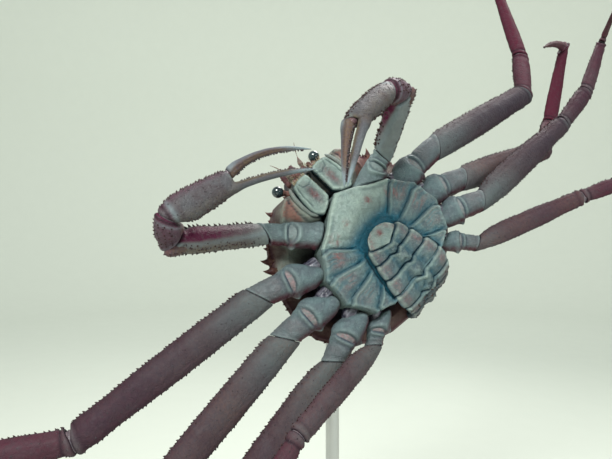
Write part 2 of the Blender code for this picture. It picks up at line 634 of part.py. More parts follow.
def make_sternum(material):
    shares = (0.0, 0.14, 0.4, 0.7, 0.9, 1.0)
    rows = sternum_rows()
    loop = [(row, 1.0) for row in rows] + [(row, -1.0) for row in reversed(rows[1:])]
    count = len(loop)
    verts = []
    for share in shares:
        for (out_x, out_y, in_x, in_y, groove), sign in loop:
            x = in_x + (out_x - in_x) * share
            y = in_y + (out_y - in_y) * share
            height = sternum_height(share, groove, x)
            if (out_x, out_y) == rows[-1][:2]:
                height = -CAVITY_DEPTH
            verts.append(body_point(x, sign * y, height))
    for (out_x, out_y, in_x, in_y, groove), sign in loop:
        verts.append(body_point(out_x, sign * out_y, -STERNUM_DEPTH))
    faces = []
    for ring in range(len(shares)):
        for k in range(count):
            following = (k + 1) % count
            low = ring * count
            high = low + count
            faces.append((low + k, low + following, high + following, high + k))
    bottom = len(shares) * count
    for start in (0, bottom):
        faces.append((start, start + 1, start + count - 1))
        for k in range(1, len(rows) - 1):
            faces.append((start + k, start + k + 1, start + count - k - 1, start + count - k))
    return make_object("sternum", verts, faces, material)


def make_flap(material):
    across = len(FLAP_RELIEF)
    verts = []
    for index, (ahead, height, half_width, edge) in enumerate(FLAP_ROWS):
        before = FLAP_ROWS[max(0, index - 1)]
        after = FLAP_ROWS[min(len(FLAP_ROWS) - 1, index + 1)]
        slope = Vector((after[0] - before[0], after[1] - before[1])).normalized()
        normal = Vector((slope.y, -slope.x)) if index else Vector((0.0, 1.0))
        if index == len(FLAP_ROWS) - 1:
            normal = Vector((-1.0, 0.0))
        relief = FLAP_RIDGE * (0.45 if edge else 1.0) * (0.35 if index < 3 or index > 23 else 1.0)
        for share, rise in FLAP_RELIEF:
            x = ahead + normal.x * rise * relief
            z = height + normal.y * rise * relief
            verts.append(body_point(x, share * half_width, z))
        floor = -CAVITY_DEPTH + GAP
        for share, rise in FLAP_RELIEF:
            x = ahead - normal.x * FLAP_THICKNESS
            z = height - normal.y * FLAP_THICKNESS
            if ahead > -33.6:
                x = ahead
                z = max(floor, z)
            verts.append(body_point(x, share * (half_width - 0.6), z))
    faces = []
    rows = len(FLAP_ROWS)
    stride = 2 * across
    for row in range(rows - 1):
        low = row * stride
        high = low + stride
        for k in range(across - 1):
            faces.append((low + k, low + k + 1, high + k + 1, high + k))
            faces.append((low + across + k, high + across + k, high + across + k + 1, low + across + k + 1))
        faces.append((low, high, high + across, low + across))
        faces.append((low + across - 1, low + stride - 1, high + stride - 1, high + across - 1))
    for low in (0, (rows - 1) * stride):
        for k in range(across - 1):
            faces.append((low + k, low + k + 1, low + across + k + 1, low + across + k))
    return make_object("abdomen", verts, faces, material)


def make_mouth_plate(side, material):
    sign = 1.0 if side == "left" else -1.0
    centre_x = sum(point[0] for point in MOUTH_PLATE) / len(MOUTH_PLATE)
    centre_y = sum(point[1] for point in MOUTH_PLATE) / len(MOUTH_PLATE)
    verts = []
    rings = ((1.0, MOUTH_FLOOR + GAP), (1.0, MOUTH_PLATE_TOP - 1.6), (0.9, MOUTH_PLATE_TOP - 0.2),
             (0.55, MOUTH_PLATE_TOP))
    for inset, height in rings:
        for point_x, point_y in MOUTH_PLATE:
            x = centre_x + (point_x - centre_x) * inset
            y = centre_y + (point_y - centre_y) * inset
            verts.append(body_point(x, sign * y, height))
    return make_object(f"maxilliped_{side}", verts, ring_faces(len(rings), len(MOUTH_PLATE)), material)


def make_eye(side, material):
    sign = 1.0 if side == "left" else -1.0
    root = body_point(EYE_ROOT[0], sign * EYE_ROOT[1], EYE_ROOT[2])
    aim = (AHEAD * EYE_AIM[0] + LEFT * EYE_AIM[1] * sign + BELLY * EYE_AIM[2]).normalized()
    length = EYE_STALK + 2 * EYE_BALL
    rows = [(0.0, 1.9, 1.9), (0.3, 1.6, 1.6)]
    for k in range(1, 7):
        angle = math.pi * (1.0 - k / 7.0)
        share = (EYE_STALK + EYE_BALL * (1.0 + math.cos(angle))) / length
        rows.append((share, EYE_BALL * math.sin(angle), EYE_BALL * math.sin(angle)))
    return limb(f"eye_{side}", root, root + aim * length, None, None, BELLY, tuple(rows), material)


def make_antenna(side, material):
    sign = 1.0 if side == "left" else -1.0
    root = body_point(ANTENNA_ROOT[0], sign * ANTENNA_ROOT[1], ANTENNA_ROOT[2])
    aim = (AHEAD * ANTENNA_AIM[0] + LEFT * ANTENNA_AIM[1] * sign + BELLY * ANTENNA_AIM[2]).normalized()
    return limb(f"antenna_{side}", root, root + aim * ANTENNA_LENGTH, None, None, BELLY, ANTENNA_ROWS,
                material, (0.0, sign))


def make_stand(material):
    width, depth, height = BASE_SIZE
    verts = []
    for inset, level in ((0.0, 0.0), (0.0, height - BASE_EDGE), (BASE_EDGE, height)):
        for x, y in ((-1, -1), (1, -1), (1, 1), (-1, 1)):
            verts.append(Vector((x * (width / 2 - inset), y * (depth / 2 - inset), level)))
    base = make_object("stand_base", verts, ring_faces(3, 4), material)
    back = body_point(PAD_PLACE[0], PAD_PLACE[1], 0.0)
    reach = back_height_at(PAD_PLACE[0], PAD_PLACE[1]) - GAP
    pad_face = back + BELLY * reach
    away = -BELLY
    pad = limb("pad", pad_face, pad_face + away * PAD_THICKNESS, None, None, LEFT,
               ((0.0, PAD_RADIUS, PAD_RADIUS), (1.0, PAD_RADIUS - 1.5, PAD_RADIUS - 1.5)), material)
    start = pad_face + away * (PAD_THICKNESS - 1.5)
    corner = start + away * ROD_BEND
    foot = Vector((corner.x, corner.y, height / 2))
    rod = bent_rod(start, corner, foot, material)
    return fuse(base, [pad, rod])


def back_height_at(ahead, left):
    """The highest point of the back under the pad."""
    return shell_height(ahead, left, 0.0) - 1.0


def bent_rod(start, corner, foot, material):
    """A rod from start to foot that turns on an arc at its corner."""
    first = (corner - start).normalized()
    second = (foot - corner).normalized()
    radius = 0.8 * ROD_BEND
    steps = 7
    centres = [start]
    for k in range(steps):
        share = k / (steps - 1)
        low = corner - first * radius * (1.0 - share)
        high = corner + second * radius * share
        centres.append(low.lerp(high, share))
    centres.append(foot)
    verts = []
    across = first.cross(second).normalized()
    for k, centre in enumerate(centres):
        before = centres[max(0, k - 1)]
        after = centres[min(len(centres) - 1, k + 1)]
        way = (after - before).normalized()
        up = way.cross(across)
        for side in range(LIMB_SIDES):
            angle = math.tau * side / LIMB_SIDES
            verts.append(centre + (across * math.cos(angle) + up * math.sin(angle)) * ROD_RADIUS)
    return make_object("rod", verts, ring_faces(len(centres), LIMB_SIDES), material)


def main():
    for old in list(bpy.data.objects):
        bpy.data.objects.remove(old)
    shell_red = make_material("shell_red", (0.26, 0.11, 0.085), 0.5)
    belly_grey = make_material("belly_grey", (0.42, 0.47, 0.42), 0.5)
    leg_grey = make_material("leg_grey", (0.25, 0.22, 0.23), 0.45)
    wine = make_material("wine", (0.24, 0.08, 0.10), 0.4)
    finger_grey = make_material("finger_grey", (0.42, 0.42, 0.42), 0.4)
    eye_black = make_material("eye_black", (0.02, 0.03, 0.035), 0.15)
    stand_grey = make_material("stand_grey", (0.6, 0.6, 0.6), 0.4)

    make_shell(shell_red)
    make_sternum(belly_grey)
    make_flap(belly_grey)
    leg_materials = {"hip": belly_grey, "merus": leg_grey, "carpus": wine, "propodus": wine, "dactyl": wine}
    claw_materials = {"hip": belly_grey, "claw": leg_grey, "finger": finger_grey}
    for side in ("left", "right"):
        make_mouth_plate(side, belly_grey)
        make_eye(side, eye_black)
        make_antenna(side, shell_red)
        make_claw(side, claw_materials)
        for number in (1, 2, 3, 4):
            make_leg(number, side, leg_materials)
    make_stand(stand_grey)


main()
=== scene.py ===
import math
import random

import bmesh
import bpy
import numpy as np
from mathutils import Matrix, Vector


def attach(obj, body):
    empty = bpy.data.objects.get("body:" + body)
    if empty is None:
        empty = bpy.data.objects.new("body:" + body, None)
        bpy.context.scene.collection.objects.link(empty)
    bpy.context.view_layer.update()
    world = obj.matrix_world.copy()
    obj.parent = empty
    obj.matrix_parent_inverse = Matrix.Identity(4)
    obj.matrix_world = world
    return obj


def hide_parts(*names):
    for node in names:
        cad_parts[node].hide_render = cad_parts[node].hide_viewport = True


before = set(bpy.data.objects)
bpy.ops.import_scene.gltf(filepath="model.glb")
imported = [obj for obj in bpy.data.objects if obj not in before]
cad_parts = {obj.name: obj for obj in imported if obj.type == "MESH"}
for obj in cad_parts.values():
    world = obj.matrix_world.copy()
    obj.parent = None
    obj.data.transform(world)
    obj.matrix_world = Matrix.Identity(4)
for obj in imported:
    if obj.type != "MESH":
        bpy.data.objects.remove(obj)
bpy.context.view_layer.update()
print("snow crab: packed model loaded")

# Lengths are in millimetres and angles in degrees. Meshes and lamps are turned to metres as they are made.
mm = 0.001
turn = 2.0 * math.pi
signs = {"left": 1.0, "right": -1.0}


# Numbers and vectors

def unit(vectors):
    vectors = np.asarray(vectors, float)
    return vectors / np.maximum(np.linalg.norm(vectors, axis=-1, keepdims=True), 1e-9)


def ease(values):
    values = np.clip(values, 0.0, 1.0)
    return values * values * (3.0 - 2.0 * values)


def ringAngles(count):
    return turn * np.arange(count) / count


def bump(distance, width):
    # 1 at no distance, fading out over the width
    return np.exp(-(np.asarray(distance) / width) ** 2)


def alongRows(rows, at):
    # a smooth curve through rows of (place, value, value ...)
    rows = np.array(rows, float)
    places = rows[:, 0]
    values = rows[:, 1:]
    slopes = np.gradient(values, places, axis=0)
    at = np.clip(at, places[0], places[-1])
    k = np.clip(np.searchsorted(places, at, side="right") - 1, 0, len(places) - 2)
    span = places[k + 1] - places[k]
    t = ((at - places[k]) / span)[..., None]
    span = span[..., None]
    lowPart = (1.0 + 2.0 * t) * (1.0 - t) ** 2 * values[k] + t * (1.0 - t) ** 2 * span * slopes[k]
    highPart = t * t * (3.0 - 2.0 * t) * values[k + 1] + t * t * (t - 1.0) * span * slopes[k + 1]
    return lowPart + highPart


def valueNoise(points, size, seed=0):
    # smooth random values from -1 to 1 over points in millimetres
    cell = points / size + seed * 17.31
    low = np.floor(cell).astype(np.int64)
    part = cell - low
    part = part * part * (3.0 - 2.0 * part)
    total = np.zeros(points.shape[:-1])
    for corner in range(8):
        step = np.array([corner & 1, corner >> 1 & 1, corner >> 2 & 1])
        spot = low + step
        mixed = spot[..., 0] * 73856093 ^ spot[..., 1] * 19349663 ^ spot[..., 2] * 83492791 ^ seed * 2654435
        mixed = (mixed ^ mixed >> 13) * 1274126177 & 0x7FFFFFFFFFFF
        value = ((mixed ^ mixed >> 16) & 0xFFFF) / 32767.5 - 1.0
        weight = np.prod(np.where(step == 1, part, 1.0 - part), axis=-1)
        total += value * weight
    return total


def roughness(points, size, seed=0, octaves=3):
    return sum(valueNoise(points, size / 2 ** k, seed + k) / 2 ** k for k in range(octaves))


# The body's own directions: the breastplate's middle, the lean of its long axis and its roll

bodyPlace = {
    "centre": (4.0, -34.0, 285.0),
    "lean": 43.5,
    "roll": 20.0,
}

lean = math.radians(bodyPlace["lean"])
roll = math.radians(bodyPlace["roll"])
across = np.array([math.sin(lean), 0.0, math.cos(lean)])
ahead = np.array([-math.cos(lean), 0.0, math.sin(lean)])
left = across * math.cos(roll) + np.array([0.0, math.sin(roll), 0.0])
belly = across * math.sin(roll) - np.array([0.0, math.cos(roll), 0.0])


def bodyPoint(x, y, z):
    # x ahead, y left and z belly-ward of the breastplate's middle
    x, y, z = np.broadcast_arrays(np.asarray(x, float), y, z)
    return np.array(bodyPlace["centre"]) + x[..., None] * ahead + y[..., None] * left + z[..., None] * belly


def bodyWay(sweep, lift, side):
    sweep = math.radians(sweep)
    lift = math.radians(lift)
    outward = left if side == "left" else -left
    return (ahead * math.sin(sweep) + outward * math.cos(sweep)) * math.cos(lift) - belly * math.sin(lift)


# Camera, light and floor

cameraView = {
    "place": (-40.0, -369.0, 288.5),
    "pixelsPerSlope": 560.0,
    "imageWidth": 612.0,
    "sensor": 36.0,
    "clip": (10.0, 20000.0),
}

lamps = {
    # name: place, aim, width, height, watts, spread, colour
    "key": ((-600.0, -1360.0, 1500.0), (0.0, -30.0, 290.0), 800.0, 650.0, 30.5, 150.0, (0.98, 1.0, 0.965)),
    "fill": ((1150.0, -940.0, 640.0), (0.0, -30.0, 270.0), 900.0, 800.0, 5.0, 150.0, (0.86, 0.95, 1.0)),
    "rim": ((300.0, 480.0, 1100.0), (0.0, 0.0, 260.0), 700.0, 500.0, 4.5, 110.0, (1.0, 0.98, 0.95)),
    "wall": ((0.0, 700.0, 1900.0), (0.0, 2700.0, 500.0), 2200.0, 300.0, 18.0, 150.0, (0.98, 1.0, 0.95)),
}

sky = {"colour": (0.86, 0.95, 0.93), "strength": 0.40}

backdrop = {
    "radius": 2700.0,
    "bendRadius": 1000.0,
    "top": 2600.0,
    "sides": 96,
}


def makeCamera():
    data = bpy.data.cameras.new("photoCamera")
    data.sensor_width = cameraView["sensor"]
    data.lens = cameraView["pixelsPerSlope"] * data.sensor_width / cameraView["imageWidth"]
    data.clip_start, data.clip_end = (value * mm for value in cameraView["clip"])
    camera = makeObject("photoCamera", data)
    camera.location = [value * mm for value in cameraView["place"]]
    camera.rotation_euler = (math.radians(90.0), 0.0, 0.0)
    bpy.context.scene.camera = camera
    bpy.context.scene.view_settings.view_transform = "Standard"


def makeLamps():
    for name, (place, aim, width, height, watts, spread, colour) in lamps.items():
        data = bpy.data.lights.new(name + "Lamp", "AREA")
        data.shape = "RECTANGLE"
        data.size = width * mm
        data.size_y = height * mm
        data.energy = watts
        data.spread = math.radians(spread)
        data.color = colour
        lamp = makeObject(name + "Lamp", data)
        lamp.location = [value * mm for value in place]
        way = Vector(aim) - Vector(place)
        lamp.rotation_euler = way.to_track_quat("-Z", "Y").to_euler()
    world = bpy.data.worlds.new("studioWorld")
    world.use_nodes = True
    shade = world.node_tree.nodes["Background"]
    shade.inputs["Color"].default_value = (*sky["colour"], 1.0)
    shade.inputs["Strength"].default_value = sky["strength"]
    bpy.context.scene.world = world


# Shader node groups

colourSocket = "NodeSocketColor"
numberSocket = "NodeSocketFloat"


def newGroup(name, inputs, outputs):
    group = bpy.data.node_groups.new(name, "ShaderNodeTree")
    for label, kind, value in inputs:
        socket = group.interface.new_socket(name=label, in_out="INPUT", socket_type=kind)
        socket.default_value = value
    for label, kind in outputs:
        group.interface.new_socket(name=label, in_out="OUTPUT", socket_type=kind)
    start = group.nodes.new("NodeGroupInput")
    finish = group.nodes.new("NodeGroupOutput")
    start.location = (-900, 0)
    finish.location = (900, 0)
    return group, start, finish


def setSocket(tree, socket, value):
    # a link, a colour or a number
    if isinstance(value, bpy.types.NodeSocket):
        tree.links.new(value, socket)
    elif isinstance(value, tuple):
        socket.default_value = (*value, 1.0)
    else:
        socket.default_value = value


def mathNode(tree, operation, first, second=0.0):
    node = tree.nodes.new("ShaderNodeMath")
    node.operation = operation
    setSocket(tree, node.inputs[0], first)
    setSocket(tree, node.inputs[1], second)
    return node.outputs[0]


def noiseNode(tree, size, detail, place, distortion=0.0):
    # a noise whose size socket is in millimetres over object coordinates in metres
    coords = tree.nodes.new("ShaderNodeTexCoord")
    node = tree.nodes.new("ShaderNodeTexNoise")
    node.location = place
    node.inputs["Detail"].default_value = detail
    node.inputs["Distortion"].default_value = distortion
    tree.links.new(coords.outputs["Object"], node.inputs["Vector"])
    tree.links.new(mathNode(tree, "DIVIDE", 1000.0, size), node.inputs["Scale"])
    return node.outputs["Fac"]


def rampNode(tree, value, low, high):
    node = tree.nodes.new("ShaderNodeMapRange")
    node.interpolation_type = "SMOOTHSTEP"
    node.inputs["From Min"].default_value = low
    node.inputs["From Max"].default_value = high
    tree.links.new(value, node.inputs["Value"])
    return node.outputs["Result"]


def mixColour(tree, share, first, second, place=(0, 0)):
    node = tree.nodes.new("ShaderNodeMix")
    node.data_type = "RGBA"
    node.location = place
    setSocket(tree, node.inputs["Factor"], share)
    setSocket(tree, node.inputs[6], first)
    setSocket(tree, node.inputs[7], second)
    return node.outputs[2]


def makeMottleGroup():
    # shell colour: soft clouds, small pale or dark specks and a slow drift of gloss
    group, start, finish = newGroup("shellMottle", (
        ("Ground", colourSocket, (0.5, 0.5, 0.5, 1.0)), ("Cloud", colourSocket, (0.3, 0.3, 0.3, 1.0)),
        ("Speck", colourSocket, (0.7, 0.7, 0.7, 1.0)),
        ("Cloud Size", numberSocket, 12.0), ("Speck Size", numberSocket, 1.5),
        ("Cloud Share", numberSocket, 0.7), ("Speck Share", numberSocket, 0.4),
        ("Gloss Low", numberSocket, 0.3), ("Gloss High", numberSocket, 0.5)),
        (("Color", colourSocket), ("Roughness", numberSocket)))
    sockets = start.outputs
    clouds = rampNode(group, noiseNode(group, sockets["Cloud Size"], 4.0, (-600, 300), 0.6), 0.36, 0.64)
    clouds = mathNode(group, "MULTIPLY", clouds, sockets["Cloud Share"])
    specks = rampNode(group, noiseNode(group, sockets["Speck Size"], 2.0, (-600, 0)), 0.56, 0.68)
    specks = mathNode(group, "MULTIPLY", specks, sockets["Speck Share"])
    clouded = mixColour(group, clouds, sockets["Ground"], sockets["Cloud"])
    specked = mixColour(group, specks, clouded, sockets["Speck"])
    group.links.new(specked, finish.inputs["Color"])
    sheen = noiseNode(group, sockets["Cloud Size"], 6.0, (-600, -300))
    gloss = group.nodes.new("ShaderNodeMapRange")
    gloss.inputs["From Min"].default_value = 0.3
    gloss.inputs["From Max"].default_value = 0.7
    group.links.new(sheen, gloss.inputs["Value"])
    group.links.new(sockets["Gloss Low"], gloss.inputs["To Min"])
    group.links.new(sockets["Gloss High"], gloss.inputs["To Max"])
    group.links.new(gloss.outputs["Result"], finish.inputs["Roughness"])
    return group


def makeTintGroup():
    # lays one colour over another where a mask says, with a broken edge
    group, start, finish = newGroup("brokenTint", (
        ("Color", colourSocket, (0.5, 0.5, 0.5, 1.0)), ("Tint", colourSocket, (0.2, 0.2, 0.2, 1.0)),
        ("Mask", numberSocket, 0.0), ("Break Size", numberSocket, 2.0), ("Break Share", numberSocket, 0.5)),
        (("Color", colourSocket),))
    sockets = start.outputs
    grain = noiseNode(group, sockets["Break Size"], 3.0, (-600, 100), 0.4)
    swing = mathNode(group, "MULTIPLY", mathNode(group, "SUBTRACT", grain, 0.5), 3.0)
    swing = mathNode(group, "MULTIPLY", swing, sockets["Break Share"])
    share = mathNode(group, "MULTIPLY", sockets["Mask"], mathNode(group, "ADD", swing, 1.0))
    clamped = group.nodes.new("ShaderNodeClamp")
    group.links.new(share, clamped.inputs["Value"])
    group.links.new(mixColour(group, clamped.outputs[0], sockets["Color"], sockets["Tint"]),
                    finish.inputs["Color"])
    return group


def makeGrainGroup():
    # height of the shell's fine skin in millimetres: grain, pits and creased lines
    group, start, finish = newGroup("shellGrain", (
        ("Grain Size", numberSocket, 0.9), ("Grain Height", numberSocket, 0.05),
        ("Pit Size", numberSocket, 2.2), ("Pit Depth", numberSocket, 0.05),
        ("Crease Size", numberSocket, 5.0), ("Crease Depth", numberSocket, 0.1)),
        (("Height", numberSocket),))
    sockets = start.outputs
    grain = mathNode(group, "MULTIPLY", noiseNode(group, sockets["Grain Size"], 3.0, (-600, 300)),
                     sockets["Grain Height"])
    cells = group.nodes.new("ShaderNodeTexVoronoi")
    coords = group.nodes.new("ShaderNodeTexCoord")
    group.links.new(coords.outputs["Object"], cells.inputs["Vector"])
    group.links.new(mathNode(group, "DIVIDE", 1000.0, sockets["Pit Size"]), cells.inputs["Scale"])
    pits = rampNode(group, cells.outputs["Distance"], 0.08, 0.34)
    pits = mathNode(group, "MULTIPLY", pits, sockets["Pit Depth"])
    folds = noiseNode(group, sockets["Crease Size"], 4.0, (-600, -300), 1.2)
    folds = mathNode(group, "ABSOLUTE", mathNode(group, "SUBTRACT", folds, 0.5))
    folds = mathNode(group, "MULTIPLY", rampNode(group, folds, 0.0, 0.12), sockets["Crease Depth"])
    total = mathNode(group, "ADD", mathNode(group, "ADD", grain, pits), folds)
    group.links.new(total, finish.inputs["Height"])
    return group


mottleGroup = makeMottleGroup()
tintGroup = makeTintGroup()
grainGroup = makeGrainGroup()

# Finishes. Each tint of a shell is laid on by a field that the pieces carry. The dark tint is painted shade
# in grooves, joints, gaps and hollows, and the breastplate's and back shell's deep tint is painted shade as
# well.

wineRed = (0.076, 0.014, 0.028)
tealShade = (0.006, 0.030, 0.050)

shellLooks = {
    "legShell": {
        "ground": (0.060, 0.056, 0.064), "cloud": (0.048, 0.034, 0.040), "speck": (0.086, 0.081, 0.087),
        "sizes": (13.0, 1.3), "shares": (0.85, 0.50), "gloss": (0.54, 0.70),
        "pale": (0.100, 0.130, 0.134), "blush": (0.115, 0.070, 0.060), "wine": wineRed,
        "dark": (0.014, 0.010, 0.016), "horn": (0.026, 0.009, 0.010), "hornTip": (0.060, 0.028, 0.022),
        "grain": (0.8, 0.08, 1.8, 0.11, 4.4, 0.15), "coat": 0.02, "deep": (0.026, 0.021, 0.032),
        "specular": 0.10,
    },
    "breastShell": {
        "ground": (0.112, 0.165, 0.170), "cloud": (0.080, 0.108, 0.120), "speck": (0.185, 0.240, 0.232),
        "sizes": (6.5, 1.0), "shares": (0.90, 0.52), "gloss": (0.44, 0.62),
        "pale": (0.300, 0.375, 0.335), "blush": (0.205, 0.092, 0.090), "wine": (0.085, 0.018, 0.024),
        "dark": tealShade, "horn": (0.060, 0.028, 0.024), "hornTip": (0.16, 0.13, 0.10),
        "grain": (0.7, 0.09, 1.4, 0.08, 2.8, 0.30), "coat": 0.06, "deep": (0.012, 0.100, 0.150),
        "specular": 0.30,
    },
    "hipShell": {
        "ground": (0.100, 0.142, 0.152), "cloud": (0.078, 0.098, 0.112), "speck": (0.150, 0.195, 0.200),
        "sizes": (7.0, 1.1), "shares": (0.85, 0.50), "gloss": (0.44, 0.62),
        "pale": (0.235, 0.300, 0.295), "blush": (0.250, 0.180, 0.188), "wine": (0.070, 0.016, 0.026),
        "dark": (0.010, 0.018, 0.036), "horn": (0.060, 0.034, 0.034), "hornTip": (0.15, 0.13, 0.12),
        "grain": (0.8, 0.09, 1.5, 0.09, 3.2, 0.24), "coat": 0.04, "deep": (0.086, 0.084, 0.092),
        "specular": 0.22,
    },
    "backShell": {
        "ground": (0.120, 0.046, 0.032), "cloud": (0.070, 0.026, 0.022), "speck": (0.24, 0.155, 0.100),
        "sizes": (11.0, 1.8), "shares": (0.8, 0.50), "gloss": (0.44, 0.64),
        "pale": (0.200, 0.240, 0.210), "blush": (0.225, 0.112, 0.092), "wine": (0.052, 0.012, 0.018),
        "dark": (0.006, 0.010, 0.018), "horn": (0.050, 0.012, 0.012), "hornTip": (0.13, 0.060, 0.040),
        "grain": (0.9, 0.08, 2.4, 0.11, 7.0, 0.12), "coat": 0.08, "deep": (0.022, 0.030, 0.050),
        "specular": 0.35,
    },
    "clawShell": {
        "ground": (0.078, 0.076, 0.086), "cloud": (0.064, 0.050, 0.058), "speck": (0.112, 0.111, 0.121),
        "sizes": (9.0, 1.1), "shares": (0.8, 0.50), "gloss": (0.45, 0.62),
        "pale": (0.190, 0.240, 0.262), "blush": (0.134, 0.106, 0.068), "wine": (0.092, 0.010, 0.038),
        "dark": (0.016, 0.008, 0.012), "horn": (0.036, 0.014, 0.014), "hornTip": (0.070, 0.036, 0.026),
        "grain": (0.7, 0.09, 1.5, 0.12, 3.6, 0.16), "coat": 0.05, "deep": (0.200, 0.222, 0.215),
        "specular": 0.22,
    },
}

tintBreaks = {
    # field: break size, break share
    "deep": (3.5, 0.35),
    "pale": (3.0, 0.30),
    "blush": (1.5, 1.10),
    "wine": (2.6, 0.45),
    "dark": (1.4, 0.15),
}

# Break size and share where a tint isn't a shell's
plainBreak = (2.0, 0.5)
broadSpread = {"sizes": (40.0, 0.6), "shares": (0.5, 0.25)}

plainLooks = {
    # the soft skin that shows in an open joint
    "jointSkin": {
        "ground": (0.17, 0.085, 0.080), "cloud": (0.10, 0.045, 0.060), "speck": (0.26, 0.20, 0.19),
        "sizes": (5.0, 1.0), "gloss": (0.25, 0.42),
        "pale": (0.20, 0.205, 0.245), "dark": (0.012, 0.012, 0.032),
        "grain": (0.6, 0.04, 1.2, 0.04, 2.2, 0.16), "coat": 0.35,
    },
    "eyeBlack": {
        "ground": (0.012, 0.020, 0.024), "cloud": (0.020, 0.045, 0.052), "speck": (0.03, 0.06, 0.07),
        "sizes": (3.0, 0.5), "gloss": (0.05, 0.12),
        "grain": (0.25, 0.012, 0.35, 0.012, 3.0, 0.0), "coat": 0.8, "coatRoughness": 0.05,
    },
    "bristleStraw": {
        "ground": (0.33, 0.28, 0.17), "cloud": (0.20, 0.15, 0.09), "speck": (0.50, 0.45, 0.31),
        "sizes": (3.0, 0.8), "gloss": (0.45, 0.6), "grain": (0.3, 0.02, 0.8, 0.0, 2.0, 0.0),
    },
    "plinthPaint": {
        "ground": (0.50, 0.50, 0.48), "cloud": (0.46, 0.46, 0.45), "speck": (0.55, 0.55, 0.53),
        **broadSpread, "gloss": (0.38, 0.50), "grain": (0.5, 0.012, 1.1, 0.010, 9.0, 0.0),
    },
    "rodSteel": {
        "ground": (0.56, 0.56, 0.55), "cloud": (0.48, 0.48, 0.48), "speck": (0.62, 0.62, 0.61),
        **broadSpread, "gloss": (0.24, 0.36), "grain": (0.3, 0.006, 0.8, 0.0, 9.0, 0.0),
        "metallic": 1.0,
    },
    "padFelt": {
        "ground": (0.34, 0.34, 0.33), "cloud": (0.27, 0.27, 0.27), "speck": (0.46, 0.46, 0.44),
        **broadSpread, "gloss": (0.85, 0.95), "grain": (0.35, 0.16, 0.9, 0.08, 3.0, 0.06),
    },
    "backdropPaper": {
        "ground": (0.50, 0.53, 0.475), "cloud": (0.4925, 0.52205, 0.467875),
        "speck": (0.505, 0.5353, 0.47975),
        **broadSpread, "gloss": (0.8, 0.9), "grain": (1.2, 0.01, 3.0, 0.0, 20.0, 0.0),
        "glow": (0.95, 1.0, 0.92), "glowStrength": 0.12,
    },
}

plainShares = (0.7, 0.4)
shellGloss = {"coatRoughness": 0.30, "ior": 1.42}

shaderSockets = {
    "coat": "Coat Weight", "coatRoughness": "Coat Roughness", "ior": "IOR", "specular": "Specular IOR Level",
    "metallic": "Metallic", "glow": "Emission Color", "glowStrength": "Emission Strength",
}


def placeGroup(tree, group, place, values):
    node = tree.nodes.new("ShaderNodeGroup")
    node.node_tree = group
    node.location = place
    for label, value in values.items():
        setSocket(tree, node.inputs[label], value)
    return node


def fieldNode(tree, name, place):
    node = tree.nodes.new("ShaderNodeAttribute")
    node.attribute_name = name
    node.location = place
    return node.outputs["Fac"]


def addGrain(tree, shader, grain):
    sizes = ("Grain Size", "Grain Height", "Pit Size", "Pit Depth", "Crease Size", "Crease Depth")
    heights = placeGroup(tree, grainGroup, (-500, -500), dict(zip(sizes, grain)))
    relief = tree.nodes.new("ShaderNodeBump")
    relief.location = (-250, -500)
    relief.inputs["Strength"].default_value = 1.0
    relief.inputs["Distance"].default_value = mm
    tree.links.new(heights.outputs["Height"], relief.inputs["Height"])
    tree.links.new(relief.outputs["Normal"], shader.inputs["Normal"])


def makeMaterial(name, look, breaks):
    # mottled colour, tints over it where the fields say, horn on the thorns, and fine relief
    material = bpy.data.materials.new(name)
    material.use_nodes = True
    tree = material.node_tree
    shader = tree.nodes["Principled BSDF"]
    shares = look.get("shares", plainShares)
    mottle = placeGroup(tree, mottleGroup, (-1500, 200), {
        "Ground": look["ground"], "Cloud": look["cloud"], "Speck": look["speck"],
        "Cloud Size": look["sizes"][0], "Speck Size": look["sizes"][1],
        "Cloud Share": shares[0], "Speck Share": shares[1],
        "Gloss Low": look["gloss"][0], "Gloss High": look["gloss"][1]})
    paint = mottle.outputs["Color"]
    for k, field in enumerate(tintBreaks):
        if field in look:
            size, share = breaks.get(field, plainBreak)
            tint = placeGroup(tree, tintGroup, (-1250 + 230 * k, 200), {
                "Color": paint, "Tint": look[field], "Mask": fieldNode(tree, field, (-1250 + 230 * k, -80)),
                "Break Size": size, "Break Share": share})
            paint = tint.outputs["Color"]
    if "horn" in look:
        horn = fieldNode(tree, "horn", (-450, -80))
        hornColour = mixColour(tree, rampNode(tree, horn, 0.45, 1.0), look["horn"], look["hornTip"],
                               (-300, -150))
        paint = mixColour(tree, rampNode(tree, horn, 0.02, 0.25), paint, hornColour, (-200, 200))
    tree.links.new(paint, shader.inputs["Base Color"])
    tree.links.new(mottle.outputs["Roughness"], shader.inputs["Roughness"])
    for label, socket in shaderSockets.items():
        if label in look:
            setSocket(tree, shader.inputs[socket], look[label])
    addGrain(tree, shader, look["grain"])
    return material


materials = {}
for name, look in shellLooks.items():
    materials[name] = makeMaterial(name, {**shellGloss, **look}, tintBreaks)
for name, look in plainLooks.items():
    materials[name] = makeMaterial(name, look, {})
print("snow crab: materials made")


# Shapes: a dictionary of vertices, faces and one value per vertex for each colour field

fieldNames = ("deep", "pale", "blush", "wine", "dark", "horn")
weldDistance = 2e-7  # metres


def makeShape(verts, faces, **fields):
    grid = verts.shape[:-1]
    shape = {"verts": verts.reshape(-1, 3), "faces": faces}
    for name in fieldNames:
        values = np.clip(fields.get(name, 0.0), 0.0, 1.0)
        shape[name] = np.broadcast_to(values, grid).reshape(-1).astype(float)
    return shape


def joinShapes(*shapes):
    joined = {"faces": []}
    offset = 0
    for shape in shapes:
        joined["faces"] += [faces + offset for faces in shape["faces"]]
        offset += len(shape["verts"])
    for name in ("verts", *fieldNames):
        joined[name] = np.concatenate([shape[name] for shape in shapes])
    return joined


def stackFields(*blocks, axis=0):
    # colour fields of grids stacked to one, from pairs of a grid's shape and its fields
    return {name: np.concatenate([np.broadcast_to(fields.get(name, 0.0), grid)
                                  for grid, fields in blocks], axis) for name in fieldNames}


